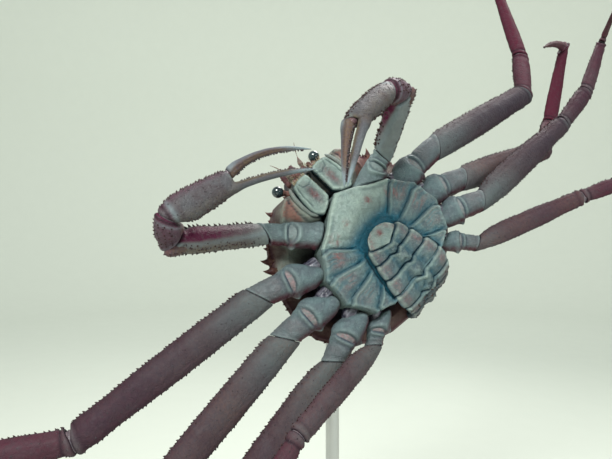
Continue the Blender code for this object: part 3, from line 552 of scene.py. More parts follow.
def gridFaces(rows, columns):
    # faces of a grid closed round its columns
    index = np.arange(rows * columns).reshape(rows, columns)
    following = np.roll(index, -1, axis=1)
    return np.stack([index[:-1], following[:-1], following[1:], index[1:]], axis=-1).reshape(-1, 4)


def tubeShape(rings, **fields):
    # rings of points, closed round and over both ends
    rows, columns = rings.shape[:2]
    ends = [np.arange(columns)[None, ::-1], np.arange((rows - 1) * columns, rows * columns)[None, :]]
    return makeShape(rings, [gridFaces(rows, columns), *ends], **fields)


def makeMesh(name, shape):
    # welds the seams and turns all faces outward
    mesh = bpy.data.meshes.new(name)
    faces = [face for block in shape["faces"] for face in block.tolist()]
    mesh.from_pydata((shape["verts"] * mm).tolist(), [], faces)
    for field in fieldNames:
        layer = mesh.attributes.new(field, "FLOAT", "POINT")
        layer.data.foreach_set("value", shape[field].astype(np.float32))
    work = bmesh.new()
    work.from_mesh(mesh)
    bmesh.ops.remove_doubles(work, verts=work.verts, dist=weldDistance)
    bmesh.ops.recalc_face_normals(work, faces=work.faces)
    work.to_mesh(mesh)
    work.free()
    return mesh


def makeObject(name, mesh):
    made = bpy.data.objects.new(name, mesh)
    bpy.context.scene.collection.objects.link(made)
    return made


def makePiece(name, shape, finish, slotName, *nodes):
    mesh = makeMesh(name, shape)
    mesh.shade_smooth()
    mesh.materials.append(materials[finish])
    piece = makeObject(name, mesh)
    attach(piece, "root")
    if nodes:
        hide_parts(*nodes)


# Thorns, granules and bristles are cones whose roots are sunk in the skin

thornForm = ((-0.5, 1.15, 0.0), (0.0, 1.0, 0.0), (0.25, 0.80, 0.02), (0.52, 0.54, 0.08), (0.80, 0.26, 0.20),
             (1.0, 0.04, 0.34))
grainForm = ((-0.8, 1.0, 0.0), (0.1, 0.98, 0.0), (0.6, 0.72, 0.02), (0.88, 0.36, 0.05), (1.0, 0.05, 0.06))
bristleForm = ((-0.06, 1.0, 0.0), (0.0, 1.0, 0.0), (0.35, 0.8, 0.06), (0.7, 0.5, 0.22), (1.0, 0.1, 0.5))


def coneShape(roots, outs, lean, heights, radii, form, sides=6, horn=1.0):
    # cones that stand out from their roots and bend towards the lean
    roots = np.asarray(roots)
    outs = unit(np.broadcast_to(outs, roots.shape))
    leans = unit(lean - outs * np.sum(lean * outs, axis=-1, keepdims=True))
    wide = np.cross(outs, leans)
    form = np.array(form)
    angle = ringAngles(sides)
    heights = np.broadcast_to(heights, len(roots))[:, None, None, None]
    radii = np.broadcast_to(radii, len(roots))[:, None, None, None]
    level, share, bend = (form[:, k][None, :, None, None] for k in range(3))
    spoke = (leans[:, None, None, :] * np.cos(angle)[None, None, :, None]
             + wide[:, None, None, :] * np.sin(angle)[None, None, :, None])
    verts = (roots[:, None, None, :] + outs[:, None, None, :] * level * heights
             + leans[:, None, None, :] * bend * heights + spoke * share * radii)
    count, rows = len(roots), len(form)
    faces = gridFaces(rows, sides)
    stride = rows * sides
    steps = (np.arange(count) * stride)[:, None, None]
    walls = (faces[None] + steps).reshape(-1, 4)
    tops = (np.arange((rows - 1) * sides, stride)[None, None] + steps).reshape(-1, sides)
    roofs = (np.arange(sides)[None, None, ::-1] + steps).reshape(-1, sides)
    return makeShape(verts, [walls, tops, roofs], horn=horn * np.clip(level[..., 0], 0.0, 1.0))


# Limbs: a tube from joint to joint, cut on the joints' planes, whose profile rows are
# (share of length, half breadth, half depth)

jointLook = {
    "gap": 0.3,
    "roundOver": 1.5,
    "pinch": 0.16,
    "flatPinch": 0.04,
    # rings that close a segment's end, as (share of the end's size, depth), and the shade at its start
    "cup": ((0.80, 0.5), (0.6, 1.2), (0.3, 1.6), (0.02, 1.8)),
    "cap": ((0.02, 0.0),),
    "cupShade": 0.75,
}


def makeLimb(start, end, headWay, profile, planes=(None, None), opens=(None, None), relief=None, **more):
    axis = unit(end - start)
    first = unit(headWay - axis * (headWay @ axis))
    second = np.cross(axis, first)
    if second @ belly < 0.0:
        second = -second
    return {"start": start, "startPlane": planes[0], "endPlane": planes[1], "axis": axis, "first": first,
            "second": second, "length": np.linalg.norm(end - start), "profile": profile,
            "bow": np.zeros(3), "relief": relief, "startOpen": opens[0], "endOpen": opens[1],
            "pinches": (jointLook["pinch"],) * 2, "lean": (0.0, 1.0), **more}


def jointSkew(limb, spoke, plane, distance, breadth, way, opening):
    slope = abs(limb["axis"] @ plane)
    tangent = math.sqrt(max(0.0, 1.0 - slope * slope)) / slope
    reach = np.minimum(0.48 * limb["length"], 2.2 * breadth * tangent + 2.0)
    fade = np.clip(1.0 - distance / reach, 0.0, 1.0)
    gap = jointLook["gap"] / 2.0
    if opening is not None:
        inner, width = opening
        gap = gap + width * np.clip(unit(spoke) @ inner, 0.0, 1.0) ** 2
    return fade * (way * gap - spoke @ plane) / (plane @ limb["axis"])


def limbSurface(limb, share, angle):
    # points of the skin; the angle runs from the head edge towards the belly
    share, angle = np.broadcast_arrays(np.asarray(share, float), angle)
    sizes = alongRows(limb["profile"], share)
    near = share * limb["length"]
    far = limb["length"] - near
    pinch = 1.0
    if limb["startPlane"] is not None:
        pinch = pinch - limb["pinches"][0] * np.clip(1.0 - near / jointLook["roundOver"], 0.0, 1.0) ** 2
    if limb["endPlane"] is not None:
        pinch = pinch - limb["pinches"][1] * np.clip(1.0 - far / jointLook["roundOver"], 0.0, 1.0) ** 2
    spoke = ((np.cos(angle) * sizes[..., 0] * pinch)[..., None] * limb["first"]
             + (np.sin(angle) * sizes[..., 1] * pinch)[..., None] * limb["second"])
    arch = (4.0 * share * (1.0 - share))[..., None]
    leanWay, leanReach = limb["lean"]
    slant = (leanWay * (1.0 - ease(near / leanReach)))[..., None]
    middle = limb["start"] + arch * limb["bow"] + slant * limb["first"]
    if limb["relief"] is not None:
        points = middle + spoke + near[..., None] * limb["axis"]
        spoke = spoke + unit(spoke) * limb["relief"](limb, share, angle, near, far, points)[..., None]
    slide = near
    breadth = sizes[..., 0]
    if limb["startPlane"] is not None:
        slide = slide + jointSkew(limb, spoke, limb["startPlane"], near, breadth, 1.0, limb["startOpen"])
    if limb["endPlane"] is not None:
        slide = slide + jointSkew(limb, spoke, limb["endPlane"], far, breadth, -1.0, limb["endOpen"])
    return middle + spoke + slide[..., None] * limb["axis"]


def limbNormals(limb, share, angle):
    shareStep, angleStep = 0.004, 0.05
    middle = limbSurface(limb, share, angle)
    along = (limbSurface(limb, np.minimum(share + shareStep, 0.999), angle)
             - limbSurface(limb, np.maximum(share - shareStep, 0.001), angle))
    around = limbSurface(limb, share, angle + angleStep) - limbSurface(limb, share, angle - angleStep)
    normal = unit(np.cross(along, around))
    outward = middle - (limb["start"] + (share * limb["length"])[..., None] * limb["axis"]
                        + (4.0 * share * (1.0 - share))[..., None] * limb["bow"])
    return middle, normal * np.sign(np.sum(normal * outward, axis=-1, keepdims=True))


def noPaint(limb, share, angle, near, far, points):
    return {}


def limbShape(limb, rings, sides, paint=noPaint):
    steps = np.linspace(0.0, 1.0, rings)
    share = 0.6 * steps + 0.4 * (0.5 - 0.5 * np.cos(math.pi * steps))
    share, angle = np.broadcast_arrays(share[:, None], ringAngles(sides))
    grid = limbSurface(limb, share, angle)
    near = share * limb["length"]
    fields = paint(limb, share, angle, near, limb["length"] - near, grid)
    ends = []
    for ring, way, plane in ((grid[0], 1.0, limb["startPlane"]), (grid[-1], -1.0, limb["endPlane"])):
        centre = ring.mean(axis=0)
        rows = jointLook["cap" if plane is None else "cup"]  # a cup in a joint, a plain cap elsewhere
        ends.append(np.stack([centre + (ring - centre) * shrink + limb["axis"] * way * sink
                              for shrink, sink in rows]))
    fields = {name: np.broadcast_to(values, grid.shape[:-1]) for name, values in fields.items()}
    startFields = {name: values[0] for name, values in fields.items()}
    endFields = {name: values[-1] for name, values in fields.items()}
    if "dark" in fields and limb["endPlane"] is not None:
        startFields["dark"] = jointLook["cupShade"]
    return tubeShape(np.concatenate([ends[0][::-1], grid, ends[1]]), **stackFields(
        (ends[0].shape[:-1], startFields), (grid.shape[:-1], fields), (ends[1].shape[:-1], endFields)))


def thornRows(limb, rows, draw, form=thornForm, sides=6, horn=1.0, leanShare=0.25):
    # rows: angle from the head edge, first and last share, count, height, root radius, wander
    shares, angles, heights, radii = [], [], [], []
    for angle, first, last, count, height, radius, wander in rows:
        for k in range(count):
            place = (k + draw.uniform(-0.35, 0.35)) / max(1, count - 1)
            shares.append(min(0.99, max(0.01, first + (last - first) * place)))
            angles.append(math.radians(angle + draw.uniform(-wander, wander)))
            size = draw.uniform(0.6, 1.25)
            heights.append(height * size)
            radii.append(radius * (0.5 + 0.5 * size))
    points, normals = limbNormals(limb, np.array(shares), np.array(angles))
    outs = normals + limb["axis"] * leanShare
    return coneShape(points, outs, limb["axis"], heights, radii, form, sides, horn)


def granuleRows(limb, count, angles, shares, height, radius, draw, horn):
    # low round grains, scattered between two angles and two shares of the length
    rows = [(draw.uniform(*angles), share, share, 1, height, radius, 0.0)
            for share in (draw.uniform(*shares) for k in range(count))]
    return thornRows(limb, rows, draw, grainForm, 6, horn, 0.0)


# Legs

legSizes = {
    "lengths": ((124.0, 48.0, 76.0, 50.0), (130.0, 50.0, 80.0, 50.0), (118.0, 45.0, 68.0, 46.0),
                (86.0, 31.0, 46.0, 33.0)),
    "breadths": ((7.6, 7.6, 6.4, 4.6), (7.6, 7.4, 6.2, 4.4), (7.2, 6.2, 5.4, 4.0), (5.2, 4.8, 4.2, 3.2)),
    "hips": {"left": (40.0, 40.0, 36.0, 28.0), "right": (39.6, 37.2, 32.0, 22.0)},
    "poses": {
        "left": (
            ((-4, 0), (-13, 16), (26, 18), (47, 10), (84, -34)),
            ((-23, 14), (-22, 23), (6, 26), (27, -5), (159, -26)),
            ((-26, 4), (-8, 10), (0, 6), (11, 10), (100, -64)),
            ((-49, 6), (-24, -5), (-27, -6), (-32, -1), (6, -32)),
        ),
        "right": (
            ((22, 12), (9, 6), (38, 4), (62, 8), (98, -34)),
            ((5, 13), (-2, 3), (15, 1), (38, 8), (75, -30)),
            ((-18, 13), (-4, 3), (8, 5), (25, 12), (60, -30)),
            ((-33, 16), (10, -33), (-6, -18), (-4, 2), (30, -30)),
        ),
    },
    "rings": {"hip": 90, "merus": 110, "carpus": 56, "propodus": 76, "dactyl": 60},
    "sides": {"hip": 96, "merus": 44, "carpus": 44, "propodus": 44, "dactyl": 44},
    "jointOpening": (0.0, 1.7, 0.9, 1.3),
    # breadth of the soft skin in each joint against the shell's end
    "skinShares": (0.86, 0.84, 0.82, 0.76),
    # place of each hip's seam, and slant of its end
    "seams": {"left": (0.41, 0.41, 0.44, 0.46), "right": (0.47, 0.48, 0.50, 0.50)},
    "slant": 0.62,
    # mauve past the seam, pink in its opening, height of the ridges beside it and breadth of the opening
    "hipLook": {
        "left": {"mauve": 0.60, "pink": 0.35, "ridge": 1.0, "lens": 0.26},
        "right": {"mauve": 0.60, "pink": 0.70, "ridge": 1.0, "lens": 0.26},
    },
    "hipGranules": 60,
    "hipLean": (-0.50, 0.9),  # how far its root stands off to the rear, and up to what share of the seam
    "dactylBow": 3.0,
    "granules": {"merus": 150, "carpus": 50, "propodus": 50},
    "thornShares": (1.0, 1.0, 1.0, 0.7),  # number and size of the thorns, leg by leg
    # how far a merus may be fitted to its hip's end, and over what share of its length
    "fitRange": (0.75, 1.15),
    "fitReach": 0.15,
}
legSegments = ("hip", "merus", "carpus", "propodus", "dactyl")

# Thorn rows of each leg segment: angle from the head edge, first and last share, count, height,
# root radius, wander. The dactyl has bristles.
legThorns = {
    "merus": ((4, 0.05, 0.97, 48, 1.0, 0.66, 7), (24, 0.08, 0.97, 26, 0.55, 0.5, 8),
              (-22, 0.08, 0.96, 30, 0.62, 0.52, 10), (178, 0.08, 0.97, 40, 0.72, 0.55, 7),
              (158, 0.2, 0.96, 18, 0.45, 0.45, 9), (-60, 0.1, 0.95, 26, 0.5, 0.46, 18)),
    "carpus": ((4, 0.06, 0.94, 16, 1.1, 0.66, 9), (-28, 0.1, 0.92, 12, 0.8, 0.58, 12),
               (178, 0.1, 0.94, 12, 0.8, 0.55, 10)),
    "propodus": ((4, 0.05, 0.9, 20, 0.7, 0.5, 10), (178, 0.05, 0.9, 18, 0.6, 0.48, 10)),
    "dactyl": [(angle, 0.06, 0.7, 12, 0.5, 0.3, 5) for angle in range(0, 360, 60)],
}

sternumStations = (
    (37.0, 0.0, 7.5, 0.0), (30.3, 13.5, 6.8, 6.0), (25.3, 22.5, 5.6, 10.5), (20.0, 32.0, 3.4, 14.2),
    (5.6, 43.7, -3.6, 18.4), (-12.4, 45.8, -10.5, 19.2), (-28.7, 36.7, -20.5, 21.2),
    (-33.5, 24.5, -31.0, 23.4),
)
sternumDepth = 18.0


def chainPoints(start, side, lengths, poses):
    # a limb's joints, its segments' directions and their head-ward directions
    ways = [bodyWay(sweep, lift, side) for sweep, lift in poses]
    points = [start]
    for length, way in zip(lengths, ways):
        points.append(points[-1] + way * length)
    return points, ways, [np.cross(belly, way) * signs[side] for way in ways]


def jointPlanes(outward, ways, side, slant):
    # planes between the segments; the one at the hip's end slants
    planes = [outward] + [unit(way + nextWay) for way, nextWay in zip(ways, ways[1:])]
    planes[1] = unit(planes[1] - np.cross(belly, planes[1]) * signs[side] * slant)
    return planes


def jointOpens(ways, widths):
    # inner side and width of each joint's opening, none at the body
    return [None] + [(unit(nextWay - way), width) for way, nextWay, width in zip(ways, ways[1:], widths)]


def socketFrame(limbNumber, side):
    first = sternumStations[1 if limbNumber == 0 else limbNumber + 2]
    second = sternumStations[limbNumber + 3]
    sign = signs[side]
    middle = bodyPoint((first[0] + second[0]) / 2, sign * (first[1] + second[1]) / 2, -sternumDepth / 2)
    edge = unit([second[0] - first[0], second[1] - first[1]])
    return middle, ahead * edge[1] - left * edge[0] * sign


def hipProfile(breadth, seam):
    # drawn to a point at the breastplate and widest at the seam
    rows = ((0.0, 0.46, 0.62), (0.16, 0.70, 0.80), (0.42, 1.04, 1.0), (0.74, 1.27, 1.08), (1.0, 1.29, 1.04),
            (1.16, 1.16, 0.94))
    rows = [(place * seam, wide * breadth, deep * breadth) for place, wide, deep in rows]
    return (*rows, (0.72, 1.06 * breadth, 0.90 * breadth), (0.88, 1.02 * breadth, 0.86 * breadth),
            (1.0, breadth, 0.83 * breadth))


def merusProfile(first, last):
    middle = 1.22 * first
    return ((0.0, first, 0.8 * first), (0.07, 1.1 * first, 0.84 * first), (0.2, 0.98 * middle, 0.66 * middle),
            (0.4, middle, 0.62 * middle), (0.62, 0.96 * middle, 0.6 * middle),
            (0.82, 1.08 * last, 0.74 * last), (0.93, 1.1 * last, 0.8 * last), (1.0, last, 0.74 * last))


def carpusProfile(first, last):
    return ((0.0, 0.94 * first, 0.72 * first), (0.15, 0.9 * first, 0.7 * first),
            (0.5, 0.98 * first, 0.7 * first), (0.85, 1.12 * last, 0.78 * last), (1.0, last, 0.72 * last))


def propodusProfile(first, last):
    return ((0.0, 0.94 * first, 0.7 * first), (0.12, first, 0.68 * first), (0.45, 0.94 * first, 0.6 * first),
            (0.85, 1.02 * last, 0.68 * last), (1.0, last, 0.66 * last))


def dactylProfile(first):
    return ((0.0, 0.92 * first, 0.62 * first), (0.12, 0.9 * first, 0.62 * first),
            (0.4, 0.68 * first, 0.5 * first), (0.7, 0.42 * first, 0.34 * first),
            (0.9, 0.22 * first, 0.2 * first), (1.0, 0.3, 0.3))


def clawHipProfile(breadth):
    # broad at the breastplate, then as a leg's
    rows = ((0.0, 1.22, 0.96), (0.06, 1.34, 1.04), (0.16, 1.22, 0.98), (0.34, 1.24, 1.04), (0.54, 1.16, 1.00),
            (0.72, 1.04, 0.90), (0.88, 1.02, 0.86), (1.0, 1.0, 0.83))
    return [(place, wide * breadth, deep * breadth) for place, wide, deep in rows]


def hipLens(limb, share, angle):
    # distance in millimetres from the bowed seam, and half the width of the soft opening in it
    aside = (angle - math.pi / 2.0 + math.pi) % turn - math.pi
    line = (share - limb["seam"]) * limb["length"] - 1.5 * np.minimum(aside ** 2, 2.5)
    width = limb["lens"] * limb["profile"][-1][1] * np.sqrt(np.clip(1.0 - (aside / 0.86) ** 2, 0.0, 1.0))
    return line, width, aside


def hipKnob(limb, angle, line):
    # the hinge knob at the tail end of the seam
    around = (angle - math.radians(176.0) + math.pi) % turn - math.pi
    return bump(np.hypot(line + 3.0, around * limb["profile"][-1][1]) / 1.9, 1.0)


def hipRelief(limb, share, angle, near, far, points):
    line, width, aside = hipLens(limb, share, angle)
    inside = ease((width - np.abs(line)) / 0.8 + 0.2) * (width > 0.01)
    edge = np.abs(line) - width
    relief = inside * (-1.1 + 0.45 * valueNoise(points, 1.5, 19)) - 0.75 * bump(edge, 0.55) * bump(aside, 1.1)
    ridge = limb["ridge"] * (bump(line + width + 1.8, 1.5) * bump(aside, 1.2)
                             + bump(line - width - 1.5, 0.9) * bump(aside, 1.0))
    relief = relief + 0.55 * ridge - 0.45 * bump(line - width - 3.6, 1.1)
    relief = relief + 1.5 * hipKnob(limb, angle, line)
    relief = relief - 0.5 * bump(line - 0.5, 1.6) * ease(-np.cos(angle) * 1.2)
    # soft hollows past the seam and a thin rim at the slanting end
    past = ease((line - width - 2.0) / 3.0) * ease(far / 3.0)
    relief = relief + past * (0.40 * bump(aside - 0.3, 0.35) - 0.40 * bump(aside + 0.45, 0.30))
    relief = relief + 0.22 * bump(far - 0.9, 0.8) - 0.25 * bump(far - 2.6, 1.2)
    return relief + 0.20 * roughness(points, 6.0, 3) - 0.08 * np.abs(valueNoise(points, 2.2, 9))


def hipPaint(limb, share, angle, near, far, points):
    line, width, aside = hipLens(limb, share, angle)
    inside = ease((width - np.abs(line)) / 0.7 + 0.2) * (width > 0.01)
    edge = np.abs(line) - width
    tailward = ease(-np.cos(angle) * 2.0 - 0.9)
    knob = hipKnob(limb, angle, line)
    wander = 0.5 + 0.5 * valueNoise(points, 4.0, 23)
    past = ease((line - 1.0) / 8.0)
    ridges = 0.30 * bump(line + width + 1.8, 1.3) + 0.35 * bump(line - width - 1.5, 0.7)
    return {
        "deep": limb["mauve"] * past * (0.7 + 0.3 * wander),
        "pale": (0.35 + 0.35 * wander) * inside + limb["ridge"] * ridges * bump(aside, 1.0) + 0.9 * knob
        + 0.22 * bump(far - 0.9, 0.7) + 0.30 * bump(near - 0.8, 0.8) + 0.18 * (limb["ridge"] - 1.0),
        # dark is painted shade in the groove round the opening, in the groove past the ridge and at both
        # joint ends
        "dark": 0.85 * bump(edge, 0.42) * bump(aside, 1.1) * (0.55 + 0.45 * ease(line + 0.5))
        + 0.25 * bump(line - width - 3.6, 0.9) * bump(aside, 1.0) + 0.55 * bump(near, 0.7)
        + 0.5 * bump(far, 0.35),
        "blush": limb["pink"] * inside + 0.18 * past * wander * limb["mauve"],
        "wine": 0.85 * tailward * (1.0 - knob) + 0.25 * ease(-np.sin(angle) * 1.2) + 0.20 * past * tailward,
    }


def legRelief(limb, share, angle, near, far, points):
    keel = 0.35 * np.abs(np.cos(angle)) ** 7
    flute = -0.30 * bump(np.sin(angle) - 0.80, 0.10) * ease(near / 14.0) * ease(far / 12.0)
    ends = limb["rim"] * (0.42 * bump(near - 2.0, 1.2) - 0.42 * bump(near - 5.0, 1.4))
    ends = ends + 0.45 * bump(far - 1.9, 1.3) - 0.30 * bump(far - 5.2, 1.8)
    return keel + flute + ends + 0.14 * roughness(points, 4.0, 7)


def legPaint(limb, share, angle, near, far, points):
    headward = ease(np.cos(angle) * 1.3 - 0.3)
    tailward = ease(-np.cos(angle) * 1.3 - 0.3)
    backward = ease(-np.sin(angle) * 1.2)
    tint = limb["tint"]
    wander = 0.5 + 0.5 * valueNoise(points, 18.0, 21)
    return {
        "wine": tint[0] + (tint[1] - tint[0]) * share + 0.12 * headward + 0.10 * tailward + 0.28 * backward,
        "pale": limb["rim"] * 0.60 * bump(near - 2.0, 2.0) * (0.6 + 0.4 * wander)
        + 0.45 * bump(far - 1.9, 1.5) + tint[2] * ease(np.sin(angle)) * wander
        + tint[5] * ease((0.40 - share) * 2.5) * (0.7 + 0.3 * wander),
        # dark is painted shade in the grooves by each end, in the joints and on the head-ward edge
        "dark": limb["rim"] * (0.65 * bump(near - 5.0, 0.9) + 0.6 * bump(near, 0.7)) + 0.8 * bump(far, 0.7)
        + 0.3 * bump(far - 5.0, 1.0) + 0.3 * bump(near, 0.35) + 0.34 * tint[4] * headward,
        "blush": tint[3] * wander * ease(np.sin(angle) + 0.4) + 0.12 * headward,
        "deep": tint[4] * (0.15 + 0.85 * ease(share * 1.3)) * (0.65 + 0.35 * wander),
    }


# Tints of a leg's segments, or of one segment by name: wine at the start, wine at the end, pale belly face,
# warm brown, dusk towards the end (it also sets the painted shade on the head-ward edge), pale start
legTints = {
    "merus": (0.02, 0.26, 0.12, 0.36, 0.60, 0.75),
    "carpus": (0.42, 0.60, 0.08, 0.20, 0.65, 0.0),
    "propodus": (0.85, 0.95, 0.06, 0.12, 0.20, 0.0),
    "dactyl": (0.50, 0.15, 0.10, 0.60, 0.0, 0.0),
    "leg1_left_merus": (0.00, 0.08, 0.08, 0.10, 1.00, 0.60),
    "leg1_left_carpus": (0.62, 0.76, 0.02, 0.06, 0.95, 0.0),
    "leg1_left_propodus": (0.90, 1.00, 0.03, 0.08, 0.50, 0.0),
    "leg2_left_merus": (0.12, 0.32, 0.10, 0.50, 0.65, 0.70),
    "leg3_left_merus": (0.00, 0.14, 0.10, 0.18, 0.95, 0.75),
    "leg3_left_carpus": (0.22, 0.38, 0.05, 0.12, 1.00, 0.0),
    "leg3_left_propodus": (0.38, 0.58, 0.04, 0.10, 0.95, 0.0),
    "leg4_left_merus": (0.12, 0.30, 0.08, 0.45, 0.85, 0.45),
    "leg2_left_propodus": (0.95, 1.00, 0.00, 0.20, 0.0, 0.0),
    "leg2_left_dactyl": (0.70, 0.10, 0.05, 0.60, 0.0, 0.0),
    "leg1_right_merus": (0.02, 0.30, 0.12, 0.22, 1.00, 0.75),
    "leg4_right_merus": (0.06, 0.24, 0.30, 0.40, 0.15, 0.60),
}


skinLook = {
    "rows": 18,
    "sides": 28,
    "reach": 0.75,
    "waves": 16.0,
    "waveHeight": 0.045,
    "crease": 0.55,
    "pale": 0.35,
}


def jointSkin(place, wayIn, wayOut, breadth, depth, headWay, pale=skinLook["pale"]):
    # a wrinkled bead of skin inside a joint
    axis = unit(wayIn + wayOut)
    first = unit(headWay - axis * (headWay @ axis))
    second = np.cross(axis, first)
    levels = np.linspace(-1.0, 1.0, skinLook["rows"])[:, None]
    angle = ringAngles(skinLook["sides"])
    wave = np.cos(levels * skinLook["waves"])
    swell = np.sqrt(np.clip(1.0 - (0.97 * levels) ** 2, 0.0, 1.0)) * (1.0 + skinLook["waveHeight"] * wave)
    spoke = (np.cos(angle) * breadth)[..., None] * first + (np.sin(angle) * depth)[..., None] * second
    verts = place + spoke * swell[..., None] + (levels * skinLook["reach"] * breadth)[..., None] * axis
    # the dark bands along the wrinkles are painted shade of the folds
    return tubeShape(verts, dark=skinLook["crease"] * (0.5 + 0.5 * wave), pale=pale)


def hipSkin(place, way, headward, breadth):
    # soft folded skin on the head side of a hip's root
    def folds(points):
        spread = np.stack([points @ headward / 1.7, points @ belly / 1.7, points @ way / 6.0], axis=-1)
        return 1.0 - 2.0 * np.abs(valueNoise(spread, 1.0, 33))

    def foldRelief(limb, share, angle, near, far, points):
        return 0.50 * folds(points) * ease(share * 4.0) + 0.15 * valueNoise(points, 1.4, 34)

    # paler on the crests as painted highlight; darker in the creases and on the side turned away from the
    # belly as painted shade
    def foldPaint(limb, share, angle, near, far, points):
        crest = ease(folds(points))
        facing = ease(np.sin(angle) * 1.5 - 0.2)
        return {"pale": 0.75 + 0.25 * crest, "dark": 0.92 - 0.72 * facing * (0.20 + 0.80 * crest)}

    start = place - way * 1.0 + headward * 0.46 * breadth - belly * 0.34 * breadth
    end = place + way * 1.6 * breadth + headward * 0.10 * breadth - belly * 0.26 * breadth
    rows = ((0.0, 0.56, 0.60), (0.25, 0.62, 0.66), (0.6, 0.56, 0.62), (0.85, 0.40, 0.46), (1.0, 0.1, 0.1))
    profile = [(place, wide * breadth, deep * breadth) for place, wide, deep in rows]
    return limbShape(makeLimb(start, end, headward, profile, relief=foldRelief), 40, 72, foldPaint)


def makeHip(name, limb, count, draw):
    shape = limbShape(limb, legSizes["rings"]["hip"], legSizes["sides"]["hip"], hipPaint)
    grains = granuleRows(limb, count, (-150, 30), (0.2, 0.95), 0.3, 0.4, draw, 0.2)
    makePiece(name + "_shell", joinShapes(shape, grains), "hipShell", "belly_grey", name)


def makeLeg(number, side):
    middle, outward = socketFrame(number, side)
    lengths = (legSizes["hips"][side][number - 1], *legSizes["lengths"][number - 1])
    points, ways, headWays = chainPoints(middle, side, lengths, legSizes["poses"][side][number - 1])
    planes = [*jointPlanes(outward, ways, side, legSizes["slant"]), None]
    opens = [*jointOpens(ways, legSizes["jointOpening"]), None]
    first, second, third, fourth = legSizes["breadths"][number - 1]
    seam = legSizes["seams"][side][number - 1]
    leanShare, leanReach = legSizes["hipLean"]
    profiles = (hipProfile(first, seam), merusProfile(first, second), carpusProfile(second, third),
                propodusProfile(third, fourth), dactylProfile(fourth))
    for k, segment in enumerate(legSegments):
        name = f"leg{number}_{side}_{segment}"
        draw = random.Random(name)
        limb = makeLimb(points[k], points[k + 1], headWays[k], profiles[k], planes[k:k + 2], opens[k:k + 2],
                        legRelief, rim=1.0, tint=legTints.get(name, legTints.get(segment)))
        if segment == "hip":
            limb.update(legSizes["hipLook"][side], relief=hipRelief, seam=seam,
                        lean=(leanShare * first, leanReach * seam * lengths[0]),
                        pinches=(jointLook["pinch"], jointLook["flatPinch"]))
            makeHip(name, limb, legSizes["hipGranules"], draw)
            continue
        if segment == "merus":
            # the oval ends of hip and merus agree on the slanted plane between them
            least, most = legSizes["fitRange"]
            reach = legSizes["fitReach"]
            fit = min(most, max(least, abs(planes[1] @ ways[1]) / abs(planes[1] @ ways[0])))
            profile = [(place, wide * (1.0 + (fit - 1.0) * max(0.0, 1.0 - place / reach)), deep)
                       for place, wide, deep in profiles[k]]
            limb.update(rim=0.0, profile=profile, pinches=(jointLook["flatPinch"], jointLook["pinch"]))
        if segment == "dactyl":
            bend = ways[k] - ways[k - 1]
            limb["bow"] = -legSizes["dactylBow"] * (bend - ways[k] * (bend @ ways[k]))
        pieces = [limbShape(limb, legSizes["rings"][segment], legSizes["sides"][segment], legPaint)]
        if segment == "dactyl":
            pieces.append(thornRows(limb, legThorns[segment], draw, bristleForm, 4, 0.8))
        else:
            share = legSizes["thornShares"][number - 1]
            rows = [(*row[:3], int(row[3] * share), row[4] * share, row[5] * (0.5 + 0.5 * share), row[6])
                    for row in legThorns[segment]]
            pieces.append(thornRows(limb, rows, draw))
            pieces.append(granuleRows(limb, legSizes["granules"][segment], (-170, 190), (0.04, 0.96),
                                      0.26, 0.42, draw, 0.12))
        slotName = "leg_grey" if segment == "merus" else "wine"
        makePiece(name + "_shell", joinShapes(*pieces), "legShell", slotName, name)
    skins = [hipSkin(points[0], ways[0], unit(headWays[0]), first)]
    for k, share in enumerate(legSizes["skinShares"]):
        wide, deep = profiles[k][-1][1:]
        skins.append(jointSkin(points[k + 1], ways[k], ways[k + 1], share * wide, share * deep, headWays[k]))
    makePiece(f"leg{number}_{side}_joint_skins", joinShapes(*skins), "jointSkin", "leg_grey")


for side in ("left", "right"):
    for number in (1, 2, 3, 4):
        makeLeg(number, side)
print("snow crab: legs made")

# Claws

clawSizes = {
    "lengths": {"left": (22.4, 44.0, 14.6, 38.0, 45.0), "right": (34.4, 58.0, 17.0, 40.0, 49.5)},
    "poses": {
        "left": ((17, -10), (44.4, -57.2), (147.8, -32), (179.8, -15.8), (-151.5, -19)),
        "right": ((49, 9), (35, -20), (125, -52), (-167, 1), (-145, -10)),
    },
    "turns": {"left": 58.0, "right": 4.0},
    "palm": (8.7, 5.6),
    "tips": {"left": ((0.0, 0.6), (0.0, -1.0)), "right": ((0.0, 9.5), (-3.5, -3.5))},
    "bows": {"left": (0.8, 0.4), "right": (6.0, 3.0)},
    "fingerOffset": 3.9,
    "fixedSink": 9.0,
    "hipBreadth": 6.6,
    "skinVoxel": 0.36,
    "skinPasses": 5,
    # rings along each segment, and sides round it
    "rings": {"merus": (84, 56), "lobe": (30, 30), "carpus": (60, 56), "palm": (90, 64),
              "fixedFinger": (80, 40), "finger": (96, 44)},
    # start and end of the lobe beside the merus's end: along the merus and to the rear
    "lobe": ((-9.0, 3.6), (4.6, 5.6)),
    "jointOpening": (0.0, 1.6, 0.8),
    "slant": 0.5,
    "seam": {"left": 0.56, "right": 0.50},
    "hipLook": {
        "left": {"mauve": 0.0, "pink": 0.10, "ridge": 2.6, "lens": 0.42},
        "right": {"mauve": 0.0, "pink": 0.10, "ridge": 2.0, "lens": 0.42},
    },
    "granules": {"hip": 50, "merus": 90, "palm": 240},
    # half breadth and half depth of the soft skin in each joint, from the body on, and in the fingers'
    "skins": ((4.6, 4.2), (5.6, 5.2), (4.6, 4.2), (5.0, 4.6)),
    "fingerSkin": (2.7, 2.5),
    "closedSkin": (3.4, 2.6),
    "innerSwell": {"left": 1.0, "right": 0.0},
    # edge of the merus's wine face: at the end, growth towards the start, its power and a turn
    "wineEdge": {"left": (0.36, 0.70, 1.0, 0.0), "right": (0.10, 0.50, 2.0, 32.0)},
    "paleFace": {"left": 0.85, "right": 0.26},
    "thornTurn": {"left": 50.0, "right": 0.0},
}

